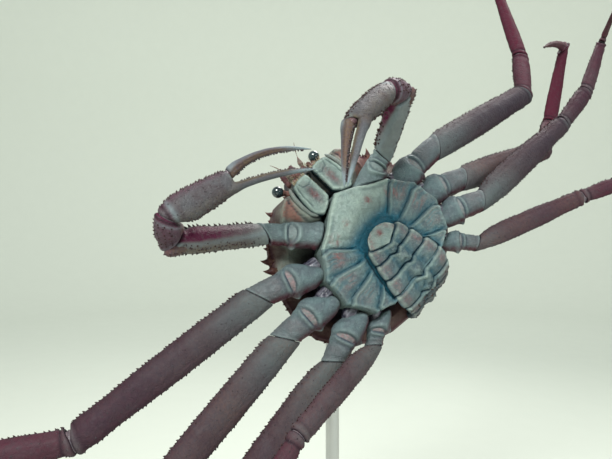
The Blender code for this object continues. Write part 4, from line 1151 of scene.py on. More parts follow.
clawProfiles = {
    "merus": ((0.0, 6.4, 6.0), (0.15, 6.9, 6.2), (0.5, 7.2, 6.4), (0.84, 7.2, 6.2), (1.0, 5.2, 4.8)),
    "carpus": ((0.0, 5.2, 4.8), (0.3, 7.4, 6.8), (0.65, 7.6, 7.0), (1.0, 5.4, 5.0)),
    "palm": ((0.0, 0.64, 0.9), (0.2, 0.98, 1.08), (0.5, 1.0, 1.1), (0.8, 0.89, 1.0), (0.94, 0.80, 0.82),
             (1.0, 0.62, 0.62)),
    "finger": ((0.0, 3.6, 3.1), (0.08, 3.8, 3.2), (0.2, 3.0, 2.8), (0.38, 2.3, 2.3), (0.65, 1.8, 1.7),
               (0.88, 1.05, 1.0), (1.0, 0.25, 0.25)),
    "fixedFinger": ((0.0, 3.0, 3.2), (0.15, 3.0, 3.4), (0.23, 2.3, 2.8), (0.36, 2.0, 2.4), (0.58, 1.8, 2.0),
                    (0.8, 1.25, 1.3), (1.0, 0.3, 0.3)),
    "lobe": ((0.0, 2.6, 4.0), (0.4, 3.1, 4.2), (0.75, 2.9, 3.4), (0.93, 1.8, 2.0), (1.0, 0.4, 0.4)),
}

# Thorn rows of the claw, as on the legs. The palm's angles run from the movable finger's edge.
clawThorns = {
    "merus": ((4, 0.10, 0.92, 15, 2.0, 0.95, 5), (20, 0.1, 0.92, 13, 0.9, 0.65, 8),
              (180, 0.06, 0.94, 19, 1.1, 0.70, 8), (140, 0.2, 0.95, 16, 0.7, 0.6, 14),
              (-40, 0.1, 0.95, 16, 0.9, 0.6, 20)),
    "palm": ((0, 0.04, 0.96, 24, 1.25, 0.72, 5), (14, 0.05, 0.96, 22, 0.9, 0.62, 5),
             (-14, 0.05, 0.96, 22, 0.95, 0.62, 5), (30, 0.08, 0.92, 16, 0.6, 0.55, 8),
             (-32, 0.08, 0.92, 18, 0.75, 0.55, 9), (180, 0.12, 0.78, 15, 0.8, 0.6, 8),
             (164, 0.15, 0.75, 12, 0.6, 0.55, 10), (-164, 0.15, 0.75, 12, 0.6, 0.55, 10)),
    "lobe": ((0, 0.3, 0.95, 5, 1.0, 0.6, 10), (40, 0.4, 0.9, 4, 0.8, 0.6, 10)),
    "carpus": [(angle, 0.2, 0.8, 7, 0.8, 0.5, 8) for angle in range(-75, 76, 25)],
    "fixedFinger": ((0, 0.22, 0.93, 30, 1.0, 0.62, 3), (16, 0.3, 0.8, 20, 0.45, 0.4, 5)),
    "finger": ((180, 0.10, 0.92, 34, 1.0, 0.62, 3), (164, 0.2, 0.8, 22, 0.45, 0.4, 5)),
}


def clawRelief(limb, share, angle, near, far, points):
    ridge = 0.45 * bump(np.sin(angle) - 0.97, 0.10) * ease(near / 8.0)
    rim = limb["rim"] * (0.4 * bump(near - 1.8, 1.1) - 0.45 * bump(near - 4.4, 1.2))
    return ridge + rim + 0.4 * bump(far - 1.8, 1.3) + 0.16 * roughness(points, 3.6, 11)


def clawMerusPaint(limb, share, angle, near, far, points):
    # wine inner face, a pale ridge along the belly side, a brown outer face, and painted shade at both joint
    # ends
    base, growth, power, turned = limb["wineEdge"]
    edge = base + growth * (1.0 - share) ** power
    angle = angle - math.radians(turned)
    ridge = bump(np.cos(angle) - edge + 0.16, 0.20) * ease(np.sin(angle) * 2.0)
    inner = ease((np.cos(angle) - edge) * 4.0) * ease(0.6 + np.sin(angle) * 1.4)
    outer = ease(-np.cos(angle) * 1.6 + 0.2)
    root = ease((0.40 - share) * 2.6)
    return {
        "wine": inner * (0.30 + 0.70 * ease((share - 0.25) * 1.9)) * (1.0 - 0.5 * root) + 0.08 * (1.0 - root),
        "pale": 0.45 * ridge + 0.35 * bump(far - 1.8, 1.4) + 0.30 * bump(near - 0.9, 0.7)
        + 0.55 * max(0.0, limb["paleFace"] - 0.3) * (1.0 - inner),
        "blush": (0.45 * outer + 0.20) * (1.0 - root) * (1.0 - limb["paleFace"]),
        "deep": np.maximum(0.80 * root, limb["paleFace"]),
        "dark": 0.35 * bump(near, 0.4) + 0.8 * bump(far, 0.8),
    }


def clawLobePaint(limb, share, angle, near, far, points):
    return {"blush": 0.6, "wine": 0.15 + 0.3 * share, "pale": 0.3 * bump(far, 3.0)}


def clawCarpusPaint(limb, share, angle, near, far, points):
    return {
        "wine": 0.35 + 0.5 * bump(far, 2.4),
        "pale": 0.85 * bump(far - 3.0, 1.0) * ease(np.sin(angle) + 0.5) + 0.4 * bump(near - 1.8, 1.2),
        "blush": 0.5 * ease(-np.cos(angle)),
        # dark is painted shade at both joint ends
        "dark": 0.85 * bump(far - 1.1, 0.7) + 0.7 * bump(near, 0.8),
    }


def fingerPaint(limb, share, angle, near, far, points):
    # greyish outer band, brown toothed inner band and a pale tip
    inner = ease(0.45 - np.cos(angle) * 1.3)
    tip = ease((share - 0.60) * 3.0)
    return {
        "pale": 0.9 * tip + 0.32 * ease(np.cos(angle) + 0.2) + 0.5 * bump(near - 3.0, 3.0),
        "blush": 0.85 * inner * (1.0 - tip),
        "wine": 0.15 * inner * (1.0 - tip) + 0.10 * (1.0 - tip),
        # dark at the root is painted shade in the joint
        "dark": 0.45 * bump(near, 0.7) + 0.35 * bump(np.cos(angle) + 0.25, 0.16) * (1.0 - tip),
    }


def fingerRelief(limb, share, angle, near, far, points):
    lift = -0.25 * ease(-np.cos(angle) * 2.0) * ease(far / 10.0)
    lift = lift + limb["innerSwell"] * ease(-np.cos(angle) * 1.6) * bump((share - 0.22) / 0.30, 1.0)
    return (lift + 0.06 * roughness(points, 2.4, 13)) * ease(far / 4.0)


def fixedFingerRelief(limb, share, angle, near, far, points):
    return limb["innerSwell"] * ease(np.cos(angle) * 1.6) * bump((share - 0.34) / 0.24, 1.0)


def fuseSkin(name, shapes, voxel, passes):
    # one smooth skin over shapes that run into each other
    mesh = makeMesh(name, joinShapes(*shapes))
    blank = makeObject(name, mesh)
    remesh = blank.modifiers.new("Remesh", "REMESH")
    remesh.mode = "VOXEL"
    remesh.voxel_size = voxel * mm
    smooth = blank.modifiers.new("Smooth", "SMOOTH")
    smooth.factor = 0.5
    smooth.iterations = passes
    graph = bpy.context.evaluated_depsgraph_get()
    result = bpy.data.meshes.new_from_object(blank.evaluated_get(graph))
    verts = np.empty(len(result.vertices) * 3)
    result.vertices.foreach_get("co", verts)
    quads = np.array([list(face.vertices) for face in result.polygons])
    bpy.data.objects.remove(blank)
    bpy.data.meshes.remove(mesh)
    bpy.data.meshes.remove(result)
    return verts.reshape(-1, 3) / mm, quads


def makeClawPiece(side, part, shapes, slotName="leg_grey"):
    name = f"claw_{side}_{part}"
    makePiece(name + "_shell", joinShapes(*shapes), "clawShell", slotName, name)


def makeClaw(side):
    middle, outward = socketFrame(0, side)
    points, ways, headWays = chainPoints(middle, side, clawSizes["lengths"][side], clawSizes["poses"][side])
    planes = jointPlanes(outward, ways[:4], side, clawSizes["slant"])
    opens = jointOpens(ways, clawSizes["jointOpening"])
    draw = random.Random(f"claw {side}")
    flat, pinch = jointLook["flatPinch"], jointLook["pinch"]
    rings = clawSizes["rings"]

    hip = makeLimb(*points[:2], headWays[0], clawHipProfile(clawSizes["hipBreadth"]), planes[:2],
                   opens[:2], hipRelief, pinches=(flat, flat), seam=clawSizes["seam"][side],
                   **clawSizes["hipLook"][side])
    makeHip(f"claw_{side}_hip", hip, clawSizes["granules"]["hip"], draw)

    merus = makeLimb(*points[1:3], headWays[1], clawProfiles["merus"], planes[1:3], opens[1:3],
                     clawRelief, pinches=(flat, pinch), rim=0.0, wineEdge=clawSizes["wineEdge"][side],
                     paleFace=clawSizes["paleFace"][side])
    pieces = [limbShape(merus, *rings["merus"], clawMerusPaint), thornRows(merus, clawThorns["merus"], draw),
              granuleRows(merus, clawSizes["granules"]["merus"], (120, 190), (0.08, 0.95), 0.32, 0.42,
                          draw, 0.3)]
    tailward = -unit(headWays[1])
    ends = [points[2] + ways[1] * further + tailward * aside for further, aside in clawSizes["lobe"]]
    lobe = makeLimb(*ends, tailward, clawProfiles["lobe"])
    pieces += [limbShape(lobe, *rings["lobe"], clawLobePaint), thornRows(lobe, clawThorns["lobe"], draw)]
    makeClawPiece(side, "merus", pieces)

    carpus = makeLimb(*points[2:4], ways[1] - ways[3], clawProfiles["carpus"], planes[2:4], opens[2:4],
                      clawRelief, rim=1.0)
    makeClawPiece(side, "carpus", [limbShape(carpus, *rings["carpus"], clawCarpusPaint),
                                   thornRows(carpus, clawThorns["carpus"], draw)])

    skins = [jointSkin(points[0] + ways[0] * 0.5, outward, ways[0], *clawSizes["skins"][0], ahead, 1.0)]
    for k, size in enumerate(clawSizes["skins"][1:]):
        skins.append(jointSkin(points[k + 1], ways[k], ways[k + 1], *size, headWays[k]))
    skins += makeHand(side, points, ways, planes[3], opens[3], draw)
    makePiece(f"claw_{side}_joint_skins", joinShapes(*skins), "jointSkin", "leg_grey")


def makeHand(side, points, ways, plane, opening, draw):
    # The palm and its fixed finger are one skin; the movable finger hinges beside it.
    sizes = clawSizes
    palmLength, fingerLength = sizes["lengths"][side][3:]
    wrist, knuckle = points[3:5]
    palmWay, fingerWay = ways[3:5]
    height = unit(np.cross(palmWay, belly)) * signs[side]
    angle = math.radians(sizes["turns"][side]) * signs[side]
    height = height * math.cos(angle) + np.cross(palmWay, height) * math.sin(angle)
    halfHeight, halfThickness = sizes["palm"]
    palmProfile = [(place, wide * halfHeight, deep * halfThickness)
                   for place, wide, deep in clawProfiles["palm"]]
    palm = makeLimb(wrist, knuckle, height, palmProfile, (plane, palmWay), (opening, None))
    tips = [knuckle + fingerWay * (fingerLength + further) + height * wide
            for further, wide in sizes["tips"][side]]
    bows = [height * bow for bow in sizes["bows"][side]]
    offset = height * sizes["fingerOffset"]
    swell = sizes["innerSwell"][side]
    fixed = makeLimb(knuckle - offset - palmWay * sizes["fixedSink"], tips[1], height,
                     clawProfiles["fixedFinger"], relief=fixedFingerRelief, bow=bows[1], innerSwell=swell)
    blanks = [limbShape(palm, *sizes["rings"]["palm"]), limbShape(fixed, *sizes["rings"]["fixedFinger"])]
    skin, quads = fuseSkin(f"claw_{side}_blank", blanks, sizes["skinVoxel"], sizes["skinPasses"])
    along = (skin - wrist) @ palmWay
    upward = (skin - wrist) @ height
    bellySide = (skin - wrist) @ palm["second"]
    fingerAlong = (skin - fixed["start"]) @ fixed["axis"] / fixed["length"]
    arch = (4.0 * fingerAlong * (1.0 - fingerAlong))[:, None] * fixed["bow"]
    fingerMiddle = fixed["start"] + fingerAlong[:, None] * fixed["length"] * fixed["axis"] + arch
    inward = unit(skin - fingerMiddle) @ height
    onFinger = ease((along - palmLength + 3.0) / 6.0)
    tip = ease((fingerAlong - 0.62) * 3.4)
    rim = bump(along - palmLength + 0.6, 1.2) * (1.0 - ease((0.5 - upward) / 2.0))
    fields = {
        "pale": 0.92 * tip * onFinger + 0.18 * onFinger * ease(0.2 - inward) + 0.6 * rim
        + 0.5 * bump(along - 2.6, 1.4) * ease(bellySide / 3.0 + 0.6),
        "blush": 0.95 * onFinger * ease(inward * 1.3 + 0.35) * (1.0 - tip)
        + (0.04 + 0.16 * ease((-upward - 2.0) / 5.0)) * (1.0 - onFinger),
        "wine": 0.36 * ease((upward - 2.0) / 6.0) * (1.0 - onFinger) + 0.35 * bump(along, 1.4),
        # dark at the wrist is painted shade in the joint
        "dark": 0.8 * bump(along + 0.2, 0.9) + 0.5 * onFinger * bump(inward - 0.25, 0.14) * (1.0 - tip),
    }
    relief = 0.13 * roughness(skin, 3.6, 17) * (1.0 - 0.85 * onFinger)
    skin = skin + unit(skin - (wrist + along[:, None] * palmWay)) * relief[:, None]
    toothed = (grainForm, 6, 0.30, 0.0)
    teeth = thornRows(fixed, clawThorns["fixedFinger"], draw, *toothed)
    rows = [(row[0] + sizes["thornTurn"][side], *row[1:]) for row in clawThorns["palm"]]
    pieces = [makeShape(skin, [quads], **fields), thornRows(palm, rows, draw, thornForm, 6, 0.9), teeth,
              granuleRows(palm, sizes["granules"]["palm"], (-170, 180), (0.05, 0.92), 0.26, 0.36, draw, 0.14)]
    makeClawPiece(side, "palm", pieces)

    finger = makeLimb(knuckle + offset, tips[0], height, clawProfiles["finger"], (palmWay, None),
                      relief=fingerRelief, bow=bows[0], innerSwell=swell)
    teeth = thornRows(finger, clawThorns["finger"], draw, *toothed)
    shape = limbShape(finger, *sizes["rings"]["finger"], fingerPaint)
    makeClawPiece(side, "finger", [shape, teeth], "finger_grey")
    skins = [jointSkin(knuckle + offset, palmWay, unit(tips[0] - knuckle), *sizes["fingerSkin"], height)]
    if swell:  # closed fingers leave no gap at their roots
        skins.append(jointSkin(knuckle + 0.3 * offset - palmWay * 0.2, palmWay, fingerWay,
                               *sizes["closedSkin"], height, 0.0))
    return skins


for side in ("left", "right"):
    makeClaw(side)
print("snow crab: claws made")

# The shell of the back, and the cheeks and mouth frame that it turns into underneath

shellSizes = {
    "outline": (
        (65.0, 0.0), (64.5, 6.5), (60.5, 10.0), (57.0, 13.5), (56.5, 19.0), (58.5, 23.5),
        (54.0, 33.0), (47.0, 43.0), (37.0, 51.5), (18.0, 62.0), (0.0, 67.0), (-16.0, 66.0),
        (-31.0, 58.5), (-43.0, 44.0), (-50.0, 28.0), (-53.0, 12.0), (-53.5, 0.0),
    ),
    "sectors": 320,
    "rim": -31.0,
    "dome": 27.0,
    "underside": -29.0,
    "mouthFloor": -8.6,
    "mouthFront": 58.5,
    "mouthAngle": 24.0,
    "cheekAngle": 54.0,
    # swellings of the back: ahead, left, radius, height
    "swellings": (
        (-14.0, 34.0, 22.0, 4.5), (-14.0, -34.0, 22.0, 4.5), (26.0, 0.0, 17.0, 4.0),
        (-20.0, 0.0, 12.0, 3.0), (30.0, 34.0, 12.0, 3.0), (30.0, -34.0, 12.0, 3.0),
    ),
    # grooves between them, on one side: points, depth, width
    "grooves": (
        (((6.0, 0.0), (4.0, 10.0), (12.0, 20.0), (26.0, 27.0), (40.0, 36.0)), 1.7, 2.6),
        (((-6.0, 12.0), (-20.0, 15.0), (-34.0, 17.0)), 1.3, 2.4),
        (((4.0, 10.0), (-6.0, 12.0)), 1.3, 2.4),
    ),
    "seatFloor": -18.3,
    # lines of the underside, on one side: ahead, left
    "mouthFrame": ((58.5, 18.4), (52.0, 20.6), (45.0, 21.0), (36.5, 19.6), (32.0, 15.6)),
    "cheekRidge": ((56.6, 20.0), (53.0, 28.2), (46.0, 33.5), (38.0, 38.0)),
    "cheekTeeth": ((54.0, 32.0), (47.0, 42.0), (39.0, 49.0)),
    "tubercles": 420,
    "hornEnds": ((58.0, 3.4, -29.0), (70.6, 4.4, -28.2)),
    "horn": ((0.0, 3.1, 2.6), (0.5, 2.7, 1.8), (0.8, 2.0, 1.3), (0.93, 1.3, 0.9), (1.0, 0.4, 0.4)),
    "hornThorns": ((0, 0.2, 0.9, 6, 0.9, 0.5, 10), (180, 0.2, 0.9, 6, 0.9, 0.5, 10)),
    # pink triangle of the cheek: ahead, left
    "rosyPatch": ((55.5, 21.0), (50.5, 30.5), (38.5, 24.5)),
}


def polarRadius(points, angle):
    # distance to a mirrored half outline at an angle from straight ahead
    points = np.array(points)
    turned = np.arctan2(points[:, 1], points[:, 0])
    radii = np.hypot(points[:, 0], points[:, 1])
    fine = np.linspace(turned[0], turned[-1], 1600)
    k = np.clip(np.searchsorted(turned, fine, side="right") - 1, 0, len(turned) - 2)
    a, b = points[k], points[k + 1]
    way = np.stack([np.cos(fine), np.sin(fine)], axis=-1)
    edge = b - a
    cross = way[:, 0] * edge[:, 1] - way[:, 1] * edge[:, 0]
    fineRadii = np.where(np.abs(cross) > 1e-9, (a[:, 0] * edge[:, 1] - a[:, 1] * edge[:, 0])
                         / np.where(np.abs(cross) > 1e-9, cross, 1.0), radii[k])
    return np.interp(np.abs((angle + math.pi) % turn - math.pi), fine, fineRadii)


def lineDistance(x, y, points):
    best = np.full(np.shape(x), 1e9)
    for (x0, y0), (x1, y1) in zip(points, points[1:]):
        dx, dy = x1 - x0, y1 - y0
        t = np.clip(((x - x0) * dx + (y - y0) * dy) / (dx ** 2 + dy ** 2), 0.0, 1.0)
        best = np.minimum(best, np.hypot(x - x0 - t * dx, y - y0 - t * dy))
    return best


def lineAt(line, x):
    # place to the left at a distance ahead, of a line that runs to the rear
    line = np.array(line)[::-1]
    return np.interp(x, line[:, 0], line[:, 1])


def backHeight(x, y, share):
    # height of the back at a share of the way to the rim
    height = shellSizes["rim"] - shellSizes["dome"] * np.clip(1.0 - share ** 2.4, 0.0, 1.0) ** 0.62
    for cx, cy, radius, rise in shellSizes["swellings"]:
        height = height - rise * np.exp(-((x - cx) ** 2 + (y - cy) ** 2) / radius ** 2) * (1.0 - share ** 4)
    for points, depth, width in shellSizes["grooves"]:
        height = height + depth * bump(lineDistance(x, np.abs(y), points), width) * (1.0 - share ** 6)
    return height


def cheekShare(angle):
    # 1 in front of the mouth, 0 at the sides
    turned = np.abs((np.degrees(angle) + 180.0) % 360.0 - 180.0)
    low, high = shellSizes["mouthAngle"], shellSizes["cheekAngle"]
    return 1.0 - ease((turned - low) / (high - low))


def inTriangle(x, y, corners, soft):
    # 1 inside a triangle, fading over the soft width at its edges
    corners = np.array(corners)
    centre = corners.mean(axis=0)
    inside = 1.0
    for (x0, y0), (x1, y1) in zip(corners, np.roll(corners, -1, axis=0)):
        normal = unit(np.array([y1 - y0, x0 - x1]))
        if normal @ (centre - (x0, y0)) < 0.0:
            normal = -normal
        inside = inside * ease(0.5 + ((x - x0) * normal[0] + (y - y0) * normal[1]) / soft)
    return inside


def makeShell():
    angle = ringAngles(shellSizes["sectors"])
    rim = polarRadius(shellSizes["outline"], angle)
    seat = polarRadius([station[:2] for station in sternumStations] + [(-34.5, 0.0)], angle)
    shares = np.concatenate([np.linspace(0.01, 0.9, 58), np.linspace(0.915, 0.995, 12)])[:, None]
    x = shares * rim * np.cos(angle)
    y = shares * rim * np.sin(angle)
    backPoints = bodyPoint(x, y, backHeight(x, y, shares))
    creased = 0.22 * roughness(backPoints, 6.0, 31) * ease((1.0 - shares) * 12.0)
    backPoints = backPoints - belly * creased[..., None]
    branch = bump((np.abs(y) - 36.0) / 20.0, 1.0) * bump((x + 10.0) / 34.0, 1.0)
    hollow = sum(bump(lineDistance(x, np.abs(y), groove[0]), groove[2]) for groove in shellSizes["grooves"])
    backFields = {
        # dark, and part of the wine, in the grooves of the back is painted shade
        "dark": 0.35 * hollow,
        "pale": 0.35 * branch * (0.5 + 0.5 * valueNoise(backPoints, 9.0, 5)),
        "wine": 0.5 * ease((shares - 0.86) * 8.0) + 0.25 * hollow,
        "blush": 0.15,
    }

    # underside: rows of (radius, height) from the rim in to the breastplate, at the sides and at the mouth
    front = cheekShare(angle)
    straight = np.abs((np.degrees(angle) + 180.0) % 360.0 - 180.0) < 60.0
    brow = np.minimum(shellSizes["mouthFront"] / np.maximum(np.cos(angle), 0.3), 0.965 * rim)
    brow = np.where(straight, brow, 0.95 * rim)
    edge, under, mouth, floor = (shellSizes[name] for name in ("rim", "underside", "mouthFloor", "seatFloor"))
    sideRows = ((rim, edge), (0.975 * rim, under + 0.2), (0.45 * seat + 0.55 * rim, under + 2.6),
                (seat + 1.0, under), (seat - 1.6, under), (seat - 2.2, floor), (0.5 * seat, floor))
    frontRows = ((rim, edge), (0.985 * rim, -22.0), (brow, mouth), (0.5 * (brow + seat), mouth),
                 (seat + 2.0, mouth), (seat + 1.6, floor), (0.5 * seat, floor))
    radii = np.array([a[0] + (b[0] - a[0]) * front for a, b in zip(sideRows, frontRows)])
    levels = np.array([a[1] + (b[1] - a[1]) * front for a, b in zip(sideRows, frontRows)])
    step = np.concatenate([np.linspace(k, k + 1.0, count)[:-1] for k, count in enumerate((10, 18, 26, 8))]
                          + [np.linspace(4.0, 6.0, 7)])[:, None]
    low = np.minimum(step[:, 0].astype(int), 5)
    underRadii = radii[low] + (radii[low + 1] - radii[low]) * (step - low[:, None])
    underLevels = levels[low] + (levels[low + 1] - levels[low]) * (step - low[:, None])
    x = underRadii * np.cos(angle)
    y = underRadii * np.sin(angle)
    aside = np.abs(y)
    points = bodyPoint(x, y, underLevels)
    rimLine = lineDistance(x, aside, shellSizes["mouthFrame"])
    ridge = lineDistance(x, aside, shellSizes["cheekRidge"])
    within = aside < lineAt(shellSizes["mouthFrame"], x)
    cheek = ease(step * 1.4) * ease((4.3 - step) * 3.0)
    besideMouth = cheek * ease((x - 33.0) / 5.0)
    mound = np.where(within, bump(rimLine / 1.3, 1.0), bump(rimLine / 9.0, 1.0))
    moat = np.where(within, 0.0, 0.6 * bump(rimLine - 2.2, 0.9))
    lift = (3.6 * mound + 0.5 * bump(rimLine, 0.8) - moat) * besideMouth
    lift = lift + (0.8 * bump(ridge, 1.1) + 0.25 * roughness(points, 5.0, 41)) * cheek
    lift = lift - 8.0 * ease((3.2 - aside) / 1.6) * ease((x - 33.0) / 2.0) * ease((58.0 - x) / 3.0)
    underPoints = points + belly * lift[..., None]
    outer = ease((aside - lineAt(shellSizes["cheekRidge"], x)) / 1.8) * ease((x - 30.0) / 6.0)
    rosy = inTriangle(x + 0.5 * valueNoise(points, 2.0, 42), aside, shellSizes["rosyPatch"], 4.5)
    rosy = np.maximum(rosy, 0.85 * ease((y - 26.0) / 4.0) * ease((x - 24.0) / 6.0) * ease((54.0 - x) / 6.0))
    inMouth = within * ease((x - 30.0) / 3.0)
    outward = ease((step - 0.8) * 2.0) * ease((x - 14.0) / 16.0)
    underFields = {
        "blush": 0.95 * rosy * cheek + 0.12,
        "pale": (0.95 * bump(rimLine, 1.9) * (1.0 - 0.6 * inMouth) + 0.75 * bump(ridge, 1.5)
                 + 0.80 * outward * (1.0 - 0.75 * rosy) * (1.0 - 0.75 * outer)) * cheek
        + 0.18 * ease((step - 1.1) * 3.0) * (1.0 - front),
        # dark is painted shade in the mouth, in the moat beside it, beside the cheek ridge and on the floor
        # round the breastplate; there, between the hips, the deep navy is painted shade too
        "dark": 0.70 * inMouth * (1.0 - bump(rimLine, 0.9))
        + 0.75 * bump(rimLine - 2.2, 0.6) * (1.0 - inMouth) * besideMouth
        + 0.85 * ease((step - 2.1) * 1.4) * (1.0 - front) * (1.0 - 0.6 * outward)
        + 0.35 * bump(ridge - 2.4, 1.0) * cheek + 0.8 * ease((step - 3.6) * 2.0) * (1.0 - 0.5 * inMouth),
        "wine": 0.95 * ease((1.3 - step) * 2.0) + 0.50 * (1.0 - outward) * (1.0 - front)
        + 0.45 * outer * cheek,
        "deep": 0.85 * ease((step - 1.9) / 1.3) * (1.0 - front),
    }
    return tubeShape(np.concatenate([backPoints, underPoints]), **stackFields(
        (backPoints.shape[:-1], backFields), (underPoints.shape[:-1], underFields)))


def rimPlace(x):
    # half width of the shell's edge at a distance ahead, behind the eye sockets
    outline = [point for point in shellSizes["outline"] if point[1] >= 13.0]
    return lineAt(outline + [shellSizes["outline"][-2]], x)


# Thorns of the shell's edge, on one side: ahead, height, root radius
edgeThorns = (
    (56.0, 4.2, 1.9), (52.5, 2.4, 1.3), (49.0, 3.2, 1.6), (46.0, 2.2, 1.2), (43.5, 2.8, 1.4),
    (37.5, 5.8, 2.5), (31.5, 5.6, 2.5), (25.5, 5.0, 2.3), (20.5, 2.0, 1.1), (17.0, 2.3, 1.1),
    (12.0, 1.7, 0.9), (8.0, 2.1, 1.1), (3.0, 1.6, 0.9), (-2.0, 2.0, 1.1), (-7.0, 1.6, 0.9),
    (-12.0, 2.1, 1.1), (-17.0, 1.5, 0.9), (-22.0, 2.0, 1.0), (-27.5, 1.4, 0.8), (-33.0, 1.7, 0.9),
    (-38.0, 1.2, 0.7),
)


def shellThorns():
    draw = random.Random("shell edge")
    roots, outs, heights, radii = [], [], [], []
    for sign in (1.0, -1.0):
        for place, height, radius in edgeThorns:
            place += draw.uniform(-0.6, 0.6)
            out = ahead * (0.25 + 0.9 * max(0.0, place - 20.0) / 36.0) + left * sign
            if place < -20.0:
                out = ahead * (place + 20.0) / 24.0 + left * sign
            roots.append(bodyPoint(place, sign * (rimPlace(place) - 0.7), shellSizes["rim"] + 0.4))
            outs.append(unit(out) + belly * 0.10)
            heights.append(height * draw.uniform(0.9, 1.1))
            radii.append(radius)
            if height > 4.0:
                for further in (-1.9, 1.9):  # a small thorn on each side of a large one
                    roots.append(bodyPoint(place + further, sign * (rimPlace(place + further) - 0.5), -30.0))
                    outs.append(unit(out) + belly * 0.2)
                    heights.append(1.3)
                    radii.append(0.8)
    edge = coneShape(roots, outs, ahead, heights, radii, thornForm, 10)
    roots, sizes = [], []
    while len(roots) < shellSizes["tubercles"]:
        x = draw.uniform(-46.0, 56.0)
        y = draw.uniform(-58.0, 58.0)
        share = float(np.hypot(x, y) / polarRadius(shellSizes["outline"], math.atan2(y, x)))
        crowd = math.exp(-((abs(y) - 34.0) / 17.0) ** 2) + math.exp(-(y / 9.0) ** 2) * 0.7
        if share > 0.93 or draw.random() > 0.25 + crowd:
            continue
        sizes.append(draw.uniform(0.5, 1.0) * (1.0 + 0.6 * crowd))
        roots.append(bodyPoint(x, y, backHeight(x, y, share)))
    sizes = np.array(sizes)
    backs = coneShape(roots, -belly, ahead, sizes, 0.95 * sizes, grainForm, 8, 0.55)
    # a row of small dark teeth on the cheek, beside the eye
    places = np.linspace(53.0, 39.0, 10)
    roots = [bodyPoint(x, sign * (y - 0.4), -28.6) for sign in (1.0, -1.0)
             for x, y in zip(places, lineAt(shellSizes["cheekTeeth"], places[::-1])[::-1])]
    teeth = coneShape(roots, belly + 0.5 * ahead, ahead, 2.0, 0.8, thornForm, 8)
    return edge, backs, teeth


def hornPaint(limb, share, angle, near, far, points):
    return {"wine": 0.6 + 0.3 * share, "blush": 0.25, "pale": 0.12}


def hornShapes():
    # the two flat horns of the brow
    shapes = []
    for sign in (1.0, -1.0):
        ends = [bodyPoint(x, y * sign, z) for x, y, z in shellSizes["hornEnds"]]
        horn = makeLimb(*ends, left, shellSizes["horn"])
        draw = random.Random(f"horn {sign}")
        shapes += [limbShape(horn, 30, 24, hornPaint), thornRows(horn, shellSizes["hornThorns"], draw)]
    return shapes


makePiece("carapace_shell", joinShapes(makeShell(), *shellThorns(), *hornShapes()), "backShell",
          "shell_red", "carapace")
print("snow crab: back shell made")

# Breastplate

sternumLook = {
    "columns": 560,
    "sutureDepth": 1.25,
    "ridgeHeight": 0.75,
    "rimHeight": 0.9,
    # heights across a plate from the hollow to the sockets: shares, heights
    "frontLift": ((0.0, 0.06, 0.14, 0.4, 0.7, 0.9, 1.0), (-3.2, -2.4, -1.5, -0.1, 0.3, 0.7, 0.2)),
    "sideLift": ((0.0, 0.05, 0.12, 0.3, 0.7, 0.9, 1.0), (-2.6, -1.5, -0.8, 0.0, 0.5, 0.7, 0.1)),
    "frontLine": ((21.0, 30.0), (16.0, 21.0), (10.0, 13.0)),
    # pink of each plate behind the front one: left, right
    "plateBlush": ((0.80, 0.95), (0.60, 0.55), (0.45, 0.30), (0.15, 0.10)),
    # pink spots of the front plate: ahead, left, radius, strength
    "spots": ((19.5, 10.7, 2.4, 0.8), (13.9, 25.6, 2.6, 0.85), (19.7, -10.8, 2.0, 0.7),
              (17.9, -23.0, 3.2, 0.75)),
}


def flapEdge(x):
    # half width of the flap at a distance ahead
    rows = np.array(flapLook["rows"])[:20]
    return np.interp(x, rows[::-1, 0], rows[::-1, 2]) + flapLook["spread"]


